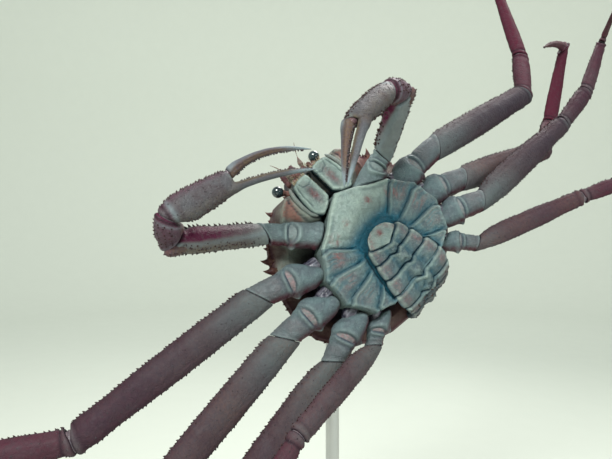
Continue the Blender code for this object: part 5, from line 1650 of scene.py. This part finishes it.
def makeSternum():
    stations = np.array(sternumStations)
    half = sternumLook["columns"] // 2
    far = 99.0
    place = np.concatenate([np.linspace(0.0, 7.0, half), np.linspace(7.0, 0.0, half)[:-1]])
    sign = np.concatenate([np.ones(half), -np.ones(half - 1)])
    low = np.minimum(place.astype(int), 6)
    part = place - low
    edge = stations[low] + (stations[low + 1] - stations[low]) * part[:, None]
    outer, inner = edge[:, :2], edge[:, 2:].copy()
    close = ease((3.0 - inner[:, 0]) / 6.0)
    inner[:, 1] += close * (np.minimum(inner[:, 1], flapEdge(inner[:, 0]) + 0.6) - inner[:, 1])
    middle = np.stack([np.clip(inner[:, 0], -31.0, 7.5), np.zeros(len(part))], axis=-1)
    shares = np.concatenate([np.linspace(0.0, 0.1, 7)[:-1], np.linspace(0.1, 0.86, 66)[:-1],
                             np.linspace(0.86, 1.0, 26)])[:, None]
    # each socket's edge is drawn in between its corners, the claws' most
    clawSocket = (place > 1.0) & (place < 3.0)
    socket = np.where(clawSocket, 1.7 * np.sin(math.pi * np.clip((place - 1.0) / 2.0, 0.0, 1.0)), 0.0)
    socket = np.where(place >= 3.0, np.sin(math.pi * part), socket)
    reach = np.linalg.norm(outer - inner, axis=1)
    draw = 1.0 - (0.5 / reach) * socket
    spot = inner + (outer - inner) * (shares * draw)[..., None]
    x = spot[..., 0]
    y = spot[..., 1] * sign
    inside = shares * reach
    inset = (1.0 - shares) * reach
    span = stations[low + 1] - stations[low]
    width = np.linalg.norm(span[:, 2:] + (span[:, :2] - span[:, 2:]) * shares[..., None], axis=-1)
    flat = bodyPoint(x, y, 0.0)
    # distances behind the plate's front suture and before its rear one; they bow near the sockets
    bow = 2.6 * ease((shares - 0.76) / 0.24) - 0.8 * ease(1.0 - shares / 0.3)
    bow = bow + 0.35 * valueNoise(flat, 6.0, 50)
    behind = np.where(low >= 3, part * width - bow, far)
    before = np.where((low >= 2) & (low < 6), (1.0 - part) * width + bow, far)
    suture = np.minimum(np.abs(behind), np.abs(before))
    plated = np.broadcast_to((low >= 3) * 1.0, x.shape)
    frontMix = ease((x + 2.0) / 8.0)
    frontBase = np.interp(shares, *sternumLook["frontLift"])
    sideBase = np.interp(shares, *sternumLook["sideLift"])
    lift = sideBase + (frontBase - sideBase) * frontMix
    lift = lift + 2.6 * ease((x - 8.0) / 14.0) * np.sin(math.pi * np.minimum(1.0, shares * 1.05))
    fade = ease(shares * 5.0)
    lift = lift - sternumLook["sutureDepth"] * (0.7 * bump(suture, 0.6) + 0.3 * bump(suture, 1.8)) * fade
    lift = lift + sternumLook["ridgeHeight"] * bump(behind - 1.7, 1.0) * ease(behind + 0.2) * fade * plated
    lift = lift + 0.55 * plated * ease(behind / 2.0) * ease(before / 5.0)
    lift = lift - 0.6 * bump(before / 4.2, 1.0) * fade
    rimShare = np.where(clawSocket, 0.60, 0.25)
    rimHeight = sternumLook["rimHeight"] * 1.3 * rimShare * (1.0 + 0.4 * valueNoise(flat, 5.0, 59))
    lift = lift + rimHeight * bump(inset - 1.2, 0.95) - 0.7 * rimShare * bump(inset - 3.4, 1.1)
    lift = lift - 1.3 * bump(inset, 0.5)
    blushAt = np.zeros(x.shape)
    patch = bump((shares - 0.66) / 0.21, 1.0) * bump((part - 0.42) / 0.27, 1.0)
    for k, strengths in enumerate(sternumLook["plateBlush"]):
        blushAt = blushAt + np.where(sign > 0.0, *strengths) * (low == 3 + k) * patch
    for bx, by, radius, strength in sternumLook["spots"]:
        blushAt = blushAt + strength * bump(np.hypot(x - bx, y - by) / radius, 1.0)
    creases = np.stack([inside / 5.5, behind / 1.15 + 0.35 * valueNoise(flat, 3.0, 56),
                        np.broadcast_to(3.1 * low, x.shape)], axis=-1)
    creases = np.where(plated > 0.5, valueNoise(creases, 1.0, 55), valueNoise(flat, 1.7, 57))
    wrinkle = -0.60 * np.abs(valueNoise(flat, 4.2, 51)) - 0.30 * np.abs(valueNoise(flat, 2.1, 52))
    lift = lift + wrinkle * (0.40 + 0.60 * plated) + 0.26 * creases * np.clip(0.40 + blushAt, 0.0, 1.0)
    lift = lift + 0.14 * roughness(flat, 7.0, 54)
    lift = lift - 0.45 * bump(lineDistance(x, np.abs(y), sternumLook["frontLine"]), 1.1)
    hollow = ease(1.0 - inside / (10.5 + 2.0 * valueNoise(flat, 6.0, 58))) * ease((x + 5.0) / 7.0)
    seam = ease(1.0 - inside / 1.5) * (1.0 - 0.85 * ease((x + 5.0) / 7.0))
    nearFlap = ease(1.0 - inside / 7.0) * (1.0 - ease((x + 5.0) / 7.0))
    paleFront = ease((x - 7.0) / 13.0) * (1.0 - plated) * (0.72 + 0.28 * valueNoise(flat, 7.0, 8))
    # painted shade: dark and deep teal in the sutures, the seam and hollow beside the flap, the groove inside
    # the rim and the dents of the creases, and deep before each suture
    fields = {
        "dark": 0.50 * bump(suture, 0.45) * fade + 0.90 * seam + 0.40 * rimShare * bump(inset - 3.4, 0.9)
        + 0.35 * np.clip(-creases - 0.2, 0.0, 1.0) * blushAt + 0.22 * hollow ** 3,
        "deep": hollow ** 1.1 + 0.42 * bump(suture, 1.7) * (1.0 - 0.6 * shares) * fade + 0.55 * nearFlap
        + 0.30 * bump(before, 3.2) * fade + 0.20 * ease(-creases * 1.5) * plated,
        "pale": 0.60 * bump(inset - 1.2, 1.0) * rimShare + 0.35 * bump(behind - 1.7, 1.0) * fade * plated
        + 0.85 * paleFront,
        "blush": blushAt * ease(0.55 + 0.9 * creases),
        "wine": 0.60 * blushAt * ease(creases * 2.2 - 0.5),
    }
    top = bodyPoint(x, y, lift)
    rows = []
    for share, depth in ((0.0, -3.2), (0.5, -3.4), (0.95, -3.25)):
        row = middle + (inner - middle) * share
        rows.append(bodyPoint(row[:, 0], row[:, 1] * sign, depth))
    hollowRows = np.array(rows)
    rows = []
    for level, share in ((-1.4, 1.0), (-3.0, 0.995), (-10.0, 0.99), (-sternumDepth, 0.985),
                         (-sternumDepth, 0.4)):
        row = inner + (outer - inner) * (share * draw)[:, None]
        rows.append(bodyPoint(row[:, 0], row[:, 1] * sign, level))
    rows.append(bodyPoint(middle[:, 0], middle[:, 1] * sign, -sternumDepth))
    walls = np.array(rows)
    verts = np.concatenate([hollowRows, top, walls])
    # the hollow's floor under the flap is painted deep and dark as shade
    return makeShape(verts, [gridFaces(len(verts), len(place))], **stackFields(
        (hollowRows.shape[:-1], {"dark": 0.25, "deep": 1.0}), (top.shape[:-1], fields),
        (walls.shape[:-1], {"dark": 0.12, "pale": 0.35})))


# The flap: ahead, belly height and half width along each segment, and the segments' edges

flapLook = {
    "rows": (
        (5.0, -0.6, 3.5), (4.4, 0.1, 6.0), (3.2, 0.5, 8.2), (-0.4, 1.1, 10.8), (-2.6, 1.5, 14.4),
        (-7.0, 1.9, 15.8), (-10.8, 1.6, 16.4), (-12.8, 1.7, 17.6), (-17.0, 2.0, 18.4), (-20.8, 1.8, 18.9),
        (-22.8, 2.0, 20.4), (-27.0, 2.2, 21.4), (-31.0, 1.7, 21.9), (-33.0, 1.2, 22.4), (-37.5, 0.2, 22.6),
        (-41.0, -1.6, 21.6), (-43.2, -3.0, 20.8), (-46.6, -6.4, 19.4), (-49.6, -10.6, 18.0),
        (-52.0, -17.0, 16.4), (-52.6, -22.0, 15.2), (-52.6, -28.7, 14.6),
    ),
    "edges": (-1.2, -11.7, -21.7, -31.9, -41.9, -48.4),
    "spread": 0.5,
    "thickness": 4.2,
    "relief": ((0.0, 1.25), (0.1, 1.15), (0.2, 0.25), (0.3, -0.5), (0.42, 0.0), (0.6, 0.45), (0.82, 0.4),
               (0.93, 0.1), (1.0, -0.9)),
    "reliefHeight": 1.3,
    "pillow": 0.85,
    "crumple": 1.15,
    "telsonSpot": (1.2, 0.6, 2.3),
    "floor": -2.9,
    "tubercles": 90,
    "across": 150,
    "along": 360,
}


def makeFlap():
    rows = np.array(flapLook["rows"])
    steps = np.concatenate([[0.0], np.cumsum(np.hypot(np.diff(rows[:, 0]), np.diff(rows[:, 1])))])
    path = np.linspace(0.0, steps[-1], flapLook["along"])
    sizes = np.stack([np.interp(path, steps, rows[:, k]) for k in range(3)], axis=-1)
    for k in range(3):  # soften the corners of the path
        padded = np.pad(sizes[:, k], 4, mode="edge")
        sizes[:, k] = np.convolve(padded, np.ones(9) / 9.0, mode="valid")
    x, z, half = (sizes[:, k][:, None] for k in range(3))
    way = unit(np.gradient(sizes[:, :2], path, axis=0))
    path = path[:, None]
    half = half + flapLook["spread"] * ease(path / 6.0)
    normal = np.stack([way[:, 1], -way[:, 0]], axis=-1)
    share = np.linspace(-1.0, 1.0, flapLook["across"])
    # the columns crowd at the edges
    share = (share + 0.16 * np.sign(share) * (np.abs(share) - share ** 2))[None, :]
    aside = np.abs(share)
    edgePlaces = np.interp([-value for value in flapLook["edges"]], -rows[:, 0], steps)
    flat = bodyPoint(x, share * half, z)
    # wavy lines between the segments, one row per edge
    lines = []
    for k, edge in enumerate(edgePlaces):
        wave = np.stack([share[0] * 4.6, np.full(share.size, 7.0 * k), np.zeros(share.size)], axis=-1)
        wave = 1.5 * valueNoise(wave, 1.0, 71 + k) * bump(aside[0] / 0.5, 1.0)
        if k == 0:
            wave = 0.15 * wave + 6.4 * (1.0 - aside[0]) ** 0.85 - 0.6 * ease((aside[0] - 0.9) / 0.1)
        else:
            wave = wave + 1.5 * (1.0 - aside[0]) - 0.9 * ease((aside[0] - 0.8) / 0.2)
        lines.append(edge + wave)
    lines = np.array([np.full(share.size, -3.0), *lines, np.full(share.size, steps[-1] + 6.0)])
    groove, pillow, riser = np.zeros((3, *flat.shape[:-1]))
    for k, (start, finish) in enumerate(zip(lines, lines[1:])):
        t = np.clip((path - start) / (finish - start), 0.0, 1.0)
        within = (path >= start) & (path < finish)
        pillow = np.where(within, np.clip(4.0 * t * (1.0 - t), 0.0, 1.0) ** 0.5, pillow)
        riser = np.where(within, 0.5 * bump(path - start - 1.7, 1.1) - 0.25 * t, riser)
        if k:
            groove = np.maximum(groove, bump(path - start, 0.5))
    # folds of the raised middle run in from each line
    fold = np.stack([share * half / 3.4, (path - 0.35 * aside * half) / 2.6, np.zeros(groove.shape)], axis=-1)
    crumple = 0.7 * valueNoise(fold, 1.0, 61) + 0.45 * roughness(flat, 2.4, 62)
    middle = bump(aside / 0.30, 1.0)
    telson = 1.0 - ease((path - lines[1] + 1.2) / 1.6)
    relief = alongRows(flapLook["relief"], aside)[..., 0] * flapLook["reliefHeight"]
    relief = relief * (1.0 - 0.85 * telson) * (1.0 - 0.45 * ease((path - edgePlaces[4]) / 6.0))
    relief = relief + 0.9 * telson * (1.0 - 0.8 * aside ** 2) - 0.5
    relief = relief + flapLook["pillow"] * pillow * (1.0 - 0.4 * telson) + riser
    relief = relief + crumple * (0.30 + flapLook["crumple"] * middle) * (1.0 - 0.8 * telson)
    relief = relief - 0.22 * np.abs(valueNoise(flat, 2.2, 63)) - 1.1 * groove
    # rounded corners: the sides draw in at each line
    drawn = (1.0 - pillow) ** 2 * ease((aside - 0.6) / 0.4)
    wide = share * (half - 1.3 * drawn * (path > lines[1] - 2.5))
    top = bodyPoint(x + normal[:, :1] * relief, wide, z + normal[:, 1:] * relief)
    # the underside, kept clear of the breastplate's hollow
    thick = flapLook["thickness"]
    backShare = np.linspace(0.97, -0.97, 16)[None, :]
    backX = np.where(x > -33.6, x, x - normal[:, :1] * thick)
    backZ = np.where(x > -33.6, np.maximum(flapLook["floor"], z - thick), z - normal[:, 1:] * thick)
    bottom = bodyPoint(backX, backShare * (half[:, -1:] - 1.5), backZ)
    spotX, spotY, spotRadius = flapLook["telsonSpot"]
    red = bump(np.hypot((x - spotX) * 1.2, share * half - spotY) / spotRadius, 1.0) * (0.75 + 0.25 * crumple)
    sidePatch = bump((aside - 0.76) / 0.17, 1.0) * pillow * (0.55 + 0.45 * valueNoise(flat, 6.0, 77))
    rear = ease((path - edgePlaces[4]) / 12.0)
    dent = np.clip(-crumple, 0.0, 1.0)
    valley = bump((aside - 0.30) / 0.10, 1.0) * (1.0 - telson)
    # dark and deep in the grooves, valleys, dents and at the edge are painted shade; pale on the risers and
    # on the crumples' crests is painted highlight
    fields = {
        "dark": 0.95 * groove + 0.22 * valley + 0.50 * dent * (0.3 + 0.7 * middle) * (1.0 - telson)
        + 0.65 * ease((aside - 0.965) / 0.03),
        "deep": 0.35 * valley + 0.35 * bump(groove - 1.0, 0.7) + 0.35 * dent,
        "pale": 0.45 * np.clip(riser * 2.0, 0.0, 1.0) + 0.55 * telson
        + 0.40 * bump((aside - 0.92) / 0.05, 1.0) + 0.30 * np.clip(crumple, 0.0, 1.0) * middle,
        "blush": 0.50 * sidePatch * (1.0 - telson) + 0.95 * red
        + 0.35 * telson * bump((aside - 0.75) / 0.25, 1.0),
        "wine": 0.8 * red * telson + 0.35 * rear,
    }
    # the flap's underside is painted dark as shade
    full = stackFields((top.shape[:-1], fields), (bottom.shape[:-1], {"dark": 0.7}), axis=1)
    draw = random.Random("flap")
    roots, outs = [], []
    for k in range(flapLook["tubercles"]):  # small ones where the flap bends to the rear
        row = draw.randrange(int(0.66 * flapLook["along"]), flapLook["along"] - 6)
        column = draw.randrange(4, flapLook["across"] - 4)
        roots.append(top[row, column])
        outs.append(ahead * normal[row, 0] + belly * normal[row, 1])
    grains = coneShape(roots, outs, left, 0.6, 0.65, grainForm, 6, 0.4)
    return joinShapes(tubeShape(np.concatenate([top, bottom], axis=1), **full), grains)


makePiece("sternum_plates", makeSternum(), "breastShell", "belly_grey", "sternum")
makePiece("abdomen_flap", makeFlap(), "breastShell", "belly_grey", "abdomen")
print("snow crab: breastplate and flap made")

# Mouth plates, with their grooves, the strips beside them and the bristles in front

mouthLook = {
    "plate": ((57.8, 2.6), (58.4, 8.6), (56.8, 15.0), (48.0, 17.1), (40.0, 17.6), (36.4, 16.9), (32.2, 13.2),
              (34.6, 6.6), (38.8, 2.2)),
    "top": -2.6,
    "floor": -8.3,
    # grooves on one plate: points, depth, width
    "grooves": (
        (((57.0, 11.6), (52.8, 10.4), (51.6, 6.0), (53.2, 2.6)), 0.40, 0.42),
        (((56.2, 13.0), (49.0, 14.5), (41.0, 14.7)), 0.35, 0.40),
    ),
    "dish": (46.5, 8.4, 7.6, 3.0),
    "strip": ((58.0, 16.6), (52.0, 18.6), (45.0, 19.2), (38.5, 18.6), (34.4, 16.0)),
    "stripHalfWidth": 1.55,
    "bristles": 110,
}


def makeMouthPlate(side):
    sign = signs[side]
    corners = np.array(mouthLook["plate"])
    centre = corners.mean(axis=0)
    corners = corners - centre
    angle = ringAngles(144)
    way = np.stack([np.cos(angle), np.sin(angle)], axis=-1)
    radius = np.full(len(angle), 99.0)
    for a, b in zip(corners, np.roll(corners, -1, axis=0)):
        edge = b - a
        cross = way[:, 0] * edge[1] - way[:, 1] * edge[0]
        cross = np.where(np.abs(cross) < 1e-9, 1e-9, cross)
        hit = (a[0] * edge[1] - a[1] * edge[0]) / cross
        along = (a[0] * way[:, 1] - a[1] * way[:, 0]) / cross
        ok = (hit > 0.0) & (along >= -1e-6) & (along <= 1.0 + 1e-6)
        radius = np.where(ok, np.minimum(radius, hit), radius)
    for k in range(3):
        radius = (np.roll(radius, 1) + 2.0 * radius + np.roll(radius, -1)) / 4.0
    shares = np.concatenate([np.linspace(0.02, 0.86, 44)[:-1], np.linspace(0.86, 1.0, 16)])[:, None]
    spot = centre + way * (shares * radius)[..., None]
    x, y = spot[..., 0], spot[..., 1]
    inset = (1.0 - shares) * radius
    points = bodyPoint(x, sign * y, 0.0)
    lift = 0.22 * bump(inset - 1.5, 0.8) - (1.0 - np.clip(inset / 1.2, 0.0, 1.0)) ** 2
    lift = lift + 0.20 * roughness(points, 4.0, 81) - 0.25 * np.abs(valueNoise(points, 3.0, 82))
    dishX, dishY, dishLength, dishWidth = mouthLook["dish"]
    dish = bump(np.hypot((x - dishX) / dishLength, (y - dishY) / dishWidth), 1.0)
    lift = lift - 0.75 * dish + 0.10 * valueNoise(points, 1.5, 83)
    # dark is painted shade at the plate's edge, in its grooves and in its dish
    dark = 0.55 * ease((0.6 - inset) / 0.6)
    for line, depth, width in mouthLook["grooves"]:
        distance = lineDistance(x, y, line)
        lift = lift - depth * bump(distance, width) + 0.18 * bump(distance - 1.3, 0.7)
        dark = dark + 0.45 * bump(distance, width)
    rust = bump(np.hypot((x - dishX + 0.6) / 6.0, (y - dishY) / 2.2), 1.0)
    rust = rust * (0.8 + 0.3 * valueNoise(points, 2.5, 84))
    fields = {
        "pale": 0.30 * bump(inset - 1.5, 1.1) + 0.54 - 0.42 * dish + 0.2 * valueNoise(points, 5.0, 85),
        "blush": 0.85 * rust,
        "wine": 0.15 * rust,
        "dark": dark + 0.12 * dish,
    }
    top = bodyPoint(x, sign * y, mouthLook["top"] + lift)
    walls = []
    floor = mouthLook["floor"]
    for level, share in ((mouthLook["top"] - 2.6, 0.995), (floor, 0.98), (floor, 0.5)):
        row = centre + way * (share * radius)[:, None]
        walls.append(bodyPoint(row[:, 0], sign * row[:, 1], level))
    walls = np.array(walls)
    # the walls down into the mouth are painted dark as shade
    full = stackFields((top.shape[:-1], fields), (walls.shape[:-1], {"dark": 0.9}))
    # the narrow strip beside the plate
    line = np.array(mouthLook["strip"])
    t = np.linspace(0.0, 1.0, 40)
    spine = np.stack([np.interp(t, np.linspace(0.0, 1.0, len(line)), line[:, k]) for k in range(2)], axis=-1)
    for k in range(3):
        spine[1:-1] = (spine[:-2] + 2.0 * spine[1:-1] + spine[2:]) / 4.0
    around = ringAngles(20)
    swell = (np.clip(1.0 - (2.0 * t - 1.0) ** 4, 0.02, 1.0) ** 0.5)[:, None]
    way = unit(np.gradient(spine, axis=0))
    aside = np.cos(around) * mouthLook["stripHalfWidth"] * swell * (1.0 - 0.35 * t[:, None])
    stripX = spine[:, :1] - way[:, 1:] * aside
    stripY = spine[:, 1:] + way[:, :1] * aside
    # the strip's side turned away from the belly is painted dark as shade
    strip = tubeShape(bodyPoint(stripX, sign * stripY, 1.9 * np.sin(around) * swell - 5.2), pale=0.55,
                      dark=0.7 * ease(-np.sin(around) * 1.5), blush=0.2)
    return joinShapes(tubeShape(np.concatenate([top, walls]), **full), strip)


def makeBristles(side):
    # fringes in front of the mouth plates and along their inner edges
    sign = signs[side]
    draw = random.Random(f"bristles {side}")
    roots, outs, heights = [], [], []
    for k in range(mouthLook["bristles"]):
        if k % 6:
            spot = bodyPoint(draw.uniform(56.2, 57.6), sign * draw.uniform(2.8, 12.4),
                             draw.uniform(-6.5, -3.2))
            out = ahead * 0.9 + belly * draw.uniform(0.1, 0.7) + left * draw.uniform(-0.35, 0.35)
            heights.append(draw.uniform(1.4, 3.0))
        else:
            spot = bodyPoint(draw.uniform(41.0, 56.0), sign * 2.7, draw.uniform(-5.0, -3.4))
            out = belly * 0.55 - left * sign * 0.8 + ahead * draw.uniform(-0.2, 0.6)
            heights.append(draw.uniform(0.8, 1.5))
        roots.append(spot)
        outs.append(out)
    return coneShape(roots, outs, ahead + 0.2 * left, heights, 0.11, bristleForm, 4)


for side in ("left", "right"):
    makePiece(f"maxilliped_{side}_plate", makeMouthPlate(side), "breastShell", "belly_grey",
              f"maxilliped_{side}")
    makePiece(f"maxilliped_{side}_bristles", makeBristles(side), "bristleStraw", "belly_grey")

# Eyes and feelers

headLook = {
    "eyeRoot": (58.2, 13.2, -21.5),
    "eyeAim": (0.62, 0.55, 0.25),
    "stalk": 2.9,
    "stalkRows": ((0.0, 2.3, 2.3), (0.3, 1.9, 1.9), (0.6, 1.8, 1.8), (0.85, 2.3, 2.3), (1.0, 2.5, 2.5)),
    "ball": 3.75,
    "feelerRoot": (64.6, 6.0, -16.5),
    "feelerAim": (0.85, 0.35, 0.3),
    "feelerLength": 14.5,
    "feelerRows": ((0.0, 1.5, 1.4), (0.12, 1.6, 1.5), (0.3, 1.1, 1.0), (0.36, 0.52, 0.52), (0.7, 0.32, 0.32),
                   (1.0, 0.12, 0.12)),
    # folded feelers under the brow, on one side: ahead, left, belly-ward, size
    "browFolds": ((60.6, 3.0, -13.0, 2.3), (58.6, 7.4, -11.8, 2.0), (61.2, 9.6, -17.4, 1.8),
                  (62.4, 2.2, -19.0, 2.2)),
    "tufts": 46,
}


def headPlace(root, aim, sign):
    # a root and a direction given ahead, left and belly-ward, mirrored on the right
    way = unit(ahead * aim[0] + left * aim[1] * sign + belly * aim[2])
    return bodyPoint(root[0], root[1] * sign, root[2]), way


def stalkPaint(limb, share, angle, near, far, points):
    return {"blush": 0.85, "pale": 0.3 * share, "wine": 0.15}


def feelerRelief(limb, share, angle, near, far, points):
    rings = 0.16 * np.sin(near * 5.2) * ease((share - 0.3) * 6.0) * (1.0 - 0.6 * share)
    return rings + 0.2 * bump(near - 2.2, 0.6) - 0.25 * bump(near - 4.6, 0.4)


def feelerPaint(limb, share, angle, near, far, points):
    return {
        "blush": 0.4,
        "pale": 0.75 * ease(1.0 - share * 2.0) + 0.4 * share,
        # dark is painted shade in the ring groove
        "dark": 0.4 * bump(near - 4.6, 0.5),
    }


def ballRings(rings, sides, ways):
    # an ellipsoid's rings round the first of three directions
    polar = np.linspace(0.02, math.pi - 0.02, rings)[:, None]
    angle = ringAngles(sides)
    shares = np.broadcast_arrays(np.cos(polar), np.sin(polar) * np.cos(angle), np.sin(polar) * np.sin(angle))
    return sum(share[..., None] * way for share, way in zip(shares, ways))


def makeEye(side):
    root, aim = headPlace(headLook["eyeRoot"], headLook["eyeAim"], signs[side])
    stalk = makeLimb(root - aim * 1.5, root + aim * (headLook["stalk"] + 1.2), belly, headLook["stalkRows"])
    makePiece(f"eye_{side}_stalk", limbShape(stalk, 36, 28, stalkPaint), "backShell", "eye_black")
    centre = root + aim * (headLook["stalk"] + headLook["ball"])
    first = unit(np.cross(aim, belly))
    ball = ballRings(36, 48, (aim, 0.98 * first, 0.98 * np.cross(aim, first)))
    makePiece(f"eye_{side}_ball", tubeShape(centre + headLook["ball"] * ball), "eyeBlack", "eye_black",
              f"eye_{side}")


def makeFeeler(side):
    sign = signs[side]
    root, aim = headPlace(headLook["feelerRoot"], headLook["feelerAim"], sign)
    feeler = makeLimb(root - aim * 1.2, root + aim * headLook["feelerLength"], belly, headLook["feelerRows"],
                      relief=feelerRelief, bow=-sign * np.cross(aim, belly))
    makePiece(f"antenna_{side}_feeler", limbShape(feeler, 150, 16, feelerPaint), "backShell", "shell_red",
              f"antenna_{side}")
    folds = []
    fold = ballRings(16, 24, (1.25 * unit(ahead + 0.5 * belly), left, 0.85 * unit(belly - 0.5 * ahead)))
    share = np.cos(np.linspace(0.02, math.pi - 0.02, 16))[:, None]
    for x, y, z, size in headLook["browFolds"]:
        verts = bodyPoint(x, y * sign, z) + size * fold
        verts = verts + belly * (0.25 * valueNoise(verts, 1.4, 91))[..., None]
        folds.append(tubeShape(verts, blush=0.7, wine=0.45 + 0.3 * share, pale=0.15))
    makePiece(f"antenna_{side}_brow_folds", joinShapes(*folds), "backShell", "shell_red")
    draw = random.Random(f"brow {side}")
    roots, outs = [], []
    for k in range(headLook["tufts"]):
        roots.append(bodyPoint(draw.uniform(59.5, 62.5), sign * draw.uniform(0.8, 10.0),
                               draw.uniform(-18.0, -10.5)))
        outs.append(ahead + belly * draw.uniform(-0.2, 0.8) + left * draw.uniform(-0.6, 0.6))
    heights = [draw.uniform(1.6, 3.4) for k in roots]
    makePiece(f"antenna_{side}_tufts", coneShape(roots, outs, belly, heights, 0.1, bristleForm, 4),
              "bristleStraw", "shell_red")


for side in ("left", "right"):
    makeEye(side)
    makeFeeler(side)
print("snow crab: mouth, eyes and feelers made")

# Stand

standSizes = {
    "base": (230.0, 200.0, 12.0),
    "edge": 2.0,
    "rod": 5.0,
    "rodBend": 26.0,
    "pad": (13.0, 4.0),
    "padPlace": (2.0, -3.0),
    "collar": (10.5, 5.0),
}


def roundedSlab(width, depth, height, corner, edge):
    # a slab with rounded corners and a soft upper edge
    angle = np.concatenate([np.linspace(k * turn / 4, (k + 1) * turn / 4, 12) for k in range(4)])
    signX = np.repeat([1, -1, -1, 1], 12)
    signY = np.repeat([1, 1, -1, -1], 12)
    rows = [(0.0, 0.6), (0.6, 0.0), (height - edge, 0.0)]
    rows += [(height - edge + edge * math.sin(t), edge * (1.0 - math.cos(t)))
             for t in np.linspace(0.3, math.pi / 2, 6)]
    rings = []
    for level, inset in rows:
        radius = corner - inset
        x = signX * (width / 2 - corner) + radius * np.cos(angle)
        y = signY * (depth / 2 - corner) + radius * np.sin(angle)
        rings.append(np.stack([x, y, np.full(len(x), level)], axis=-1))
    return tubeShape(np.array(rings))


def sweptRod(centres, radius, sides=32):
    ways = unit(np.gradient(centres, axis=0))
    first = unit(np.cross(ways[0], ways[-1]))
    angle = ringAngles(sides)[None, :, None]
    second = np.cross(ways, first)[:, None]
    return centres[:, None] + radius * (np.cos(angle) * first + np.sin(angle) * second)


def turnedPiece(centre, axis, rows, sides=64):
    # rows: (distance along the axis, radius)
    first = unit(np.cross(axis, [0.3, 0.5, 0.8]))
    angle = ringAngles(sides)[:, None]
    spoke = np.cos(angle) * first + np.sin(angle) * np.cross(axis, first)
    return tubeShape(np.array([centre + axis * level + radius * spoke for level, radius in rows]))


def makeStand():
    width, depth, height = standSizes["base"]
    makePiece("stand_plinth", roundedSlab(width, depth, height, 3.0, standSizes["edge"]), "plinthPaint",
              "stand_grey", "stand_base")
    padX, padY = standSizes["padPlace"]
    plainBack = shellSizes["rim"] - shellSizes["dome"]
    for cx, cy, radius, rise in shellSizes["swellings"]:
        plainBack -= rise * math.exp(-((padX - cx) ** 2 + (padY - cy) ** 2) / radius ** 2)
    radius, thick = standSizes["pad"]
    face = bodyPoint(padX, padY, plainBack - 1.3)
    away = -belly
    pad = turnedPiece(face, away, ((0.0, radius - 3.0), (0.0, radius - 0.9), (0.4, radius - 0.2),
                                   (1.0, radius), (1.8, radius - 0.1)))
    makePiece("stand_pad", pad, "padFelt", "stand_grey")
    cup = turnedPiece(face, away, ((1.5, radius - 2.0), (1.7, radius - 0.7), (thick - 0.8, radius - 0.9),
                                   (thick, radius - 1.8), (thick, 7.5), (thick + 1.2, 7.0),
                                   (thick + 3.0, 6.0), (thick + 3.4, 5.2)))
    start = face + away * (thick - 1.5)
    corner = start + away * standSizes["rodBend"]
    foot = np.array([corner[0], corner[1], height / 2])
    bend = 0.8 * standSizes["rodBend"]
    down = unit(foot - corner)
    t = np.linspace(0.0, 1.0, 26)[:, None]
    low = corner + away * bend * (t - 1.0)
    high = corner + down * bend * t
    arc = low + (high - low) * t
    centres = np.concatenate([start + (arc[0] - start) * np.linspace(0.0, 0.9, 4)[:, None], arc,
                              arc[-1] + (foot - arc[-1]) * np.linspace(0.05, 1.0, 12)[:, None]])
    rod = tubeShape(sweptRod(centres, standSizes["rod"]))
    collarRadius, collarHeight = standSizes["collar"]
    collar = turnedPiece(np.array([foot[0], foot[1], height - 0.3]), np.array([0.0, 0.0, 1.0]), (
        (0.0, collarRadius), (collarHeight - 1.4, collarRadius), (collarHeight - 0.4, collarRadius - 0.5),
        (collarHeight, collarRadius - 1.4), (collarHeight, 5.2)))
    makePiece("stand_rod", joinShapes(rod, cup, collar), "rodSteel", "stand_grey")


makeStand()
print("snow crab: stand made")


def makeBackdrop():
    # a round floor that curves up into a wall all the way round
    bend = backdrop["bendRadius"]
    flat = backdrop["radius"] - bend
    arc = [(flat + bend * math.sin(t), bend - bend * math.cos(t)) for t in np.linspace(0.0, math.pi / 2, 24)]
    rows = [(0.03 * flat, 0.0), (0.4 * flat, 0.0), *arc, (flat + bend, backdrop["top"])]
    sides = backdrop["sides"]
    angle = ringAngles(sides)
    verts = np.array([[(r * math.cos(a), r * math.sin(a), z) for a in angle] for r, z in rows])
    faces = gridFaces(len(rows), sides).tolist() + [list(range(sides))]
    mesh = bpy.data.meshes.new("studioFloor")
    mesh.from_pydata((verts.reshape(-1, 3) * mm).tolist(), [], faces)
    mesh.shade_smooth()
    mesh.materials.append(materials["backdropPaper"])
    makeObject("studioFloor", mesh)


makeBackdrop()
makeCamera()
makeLamps()
print("snow crab: floor, camera and light made")
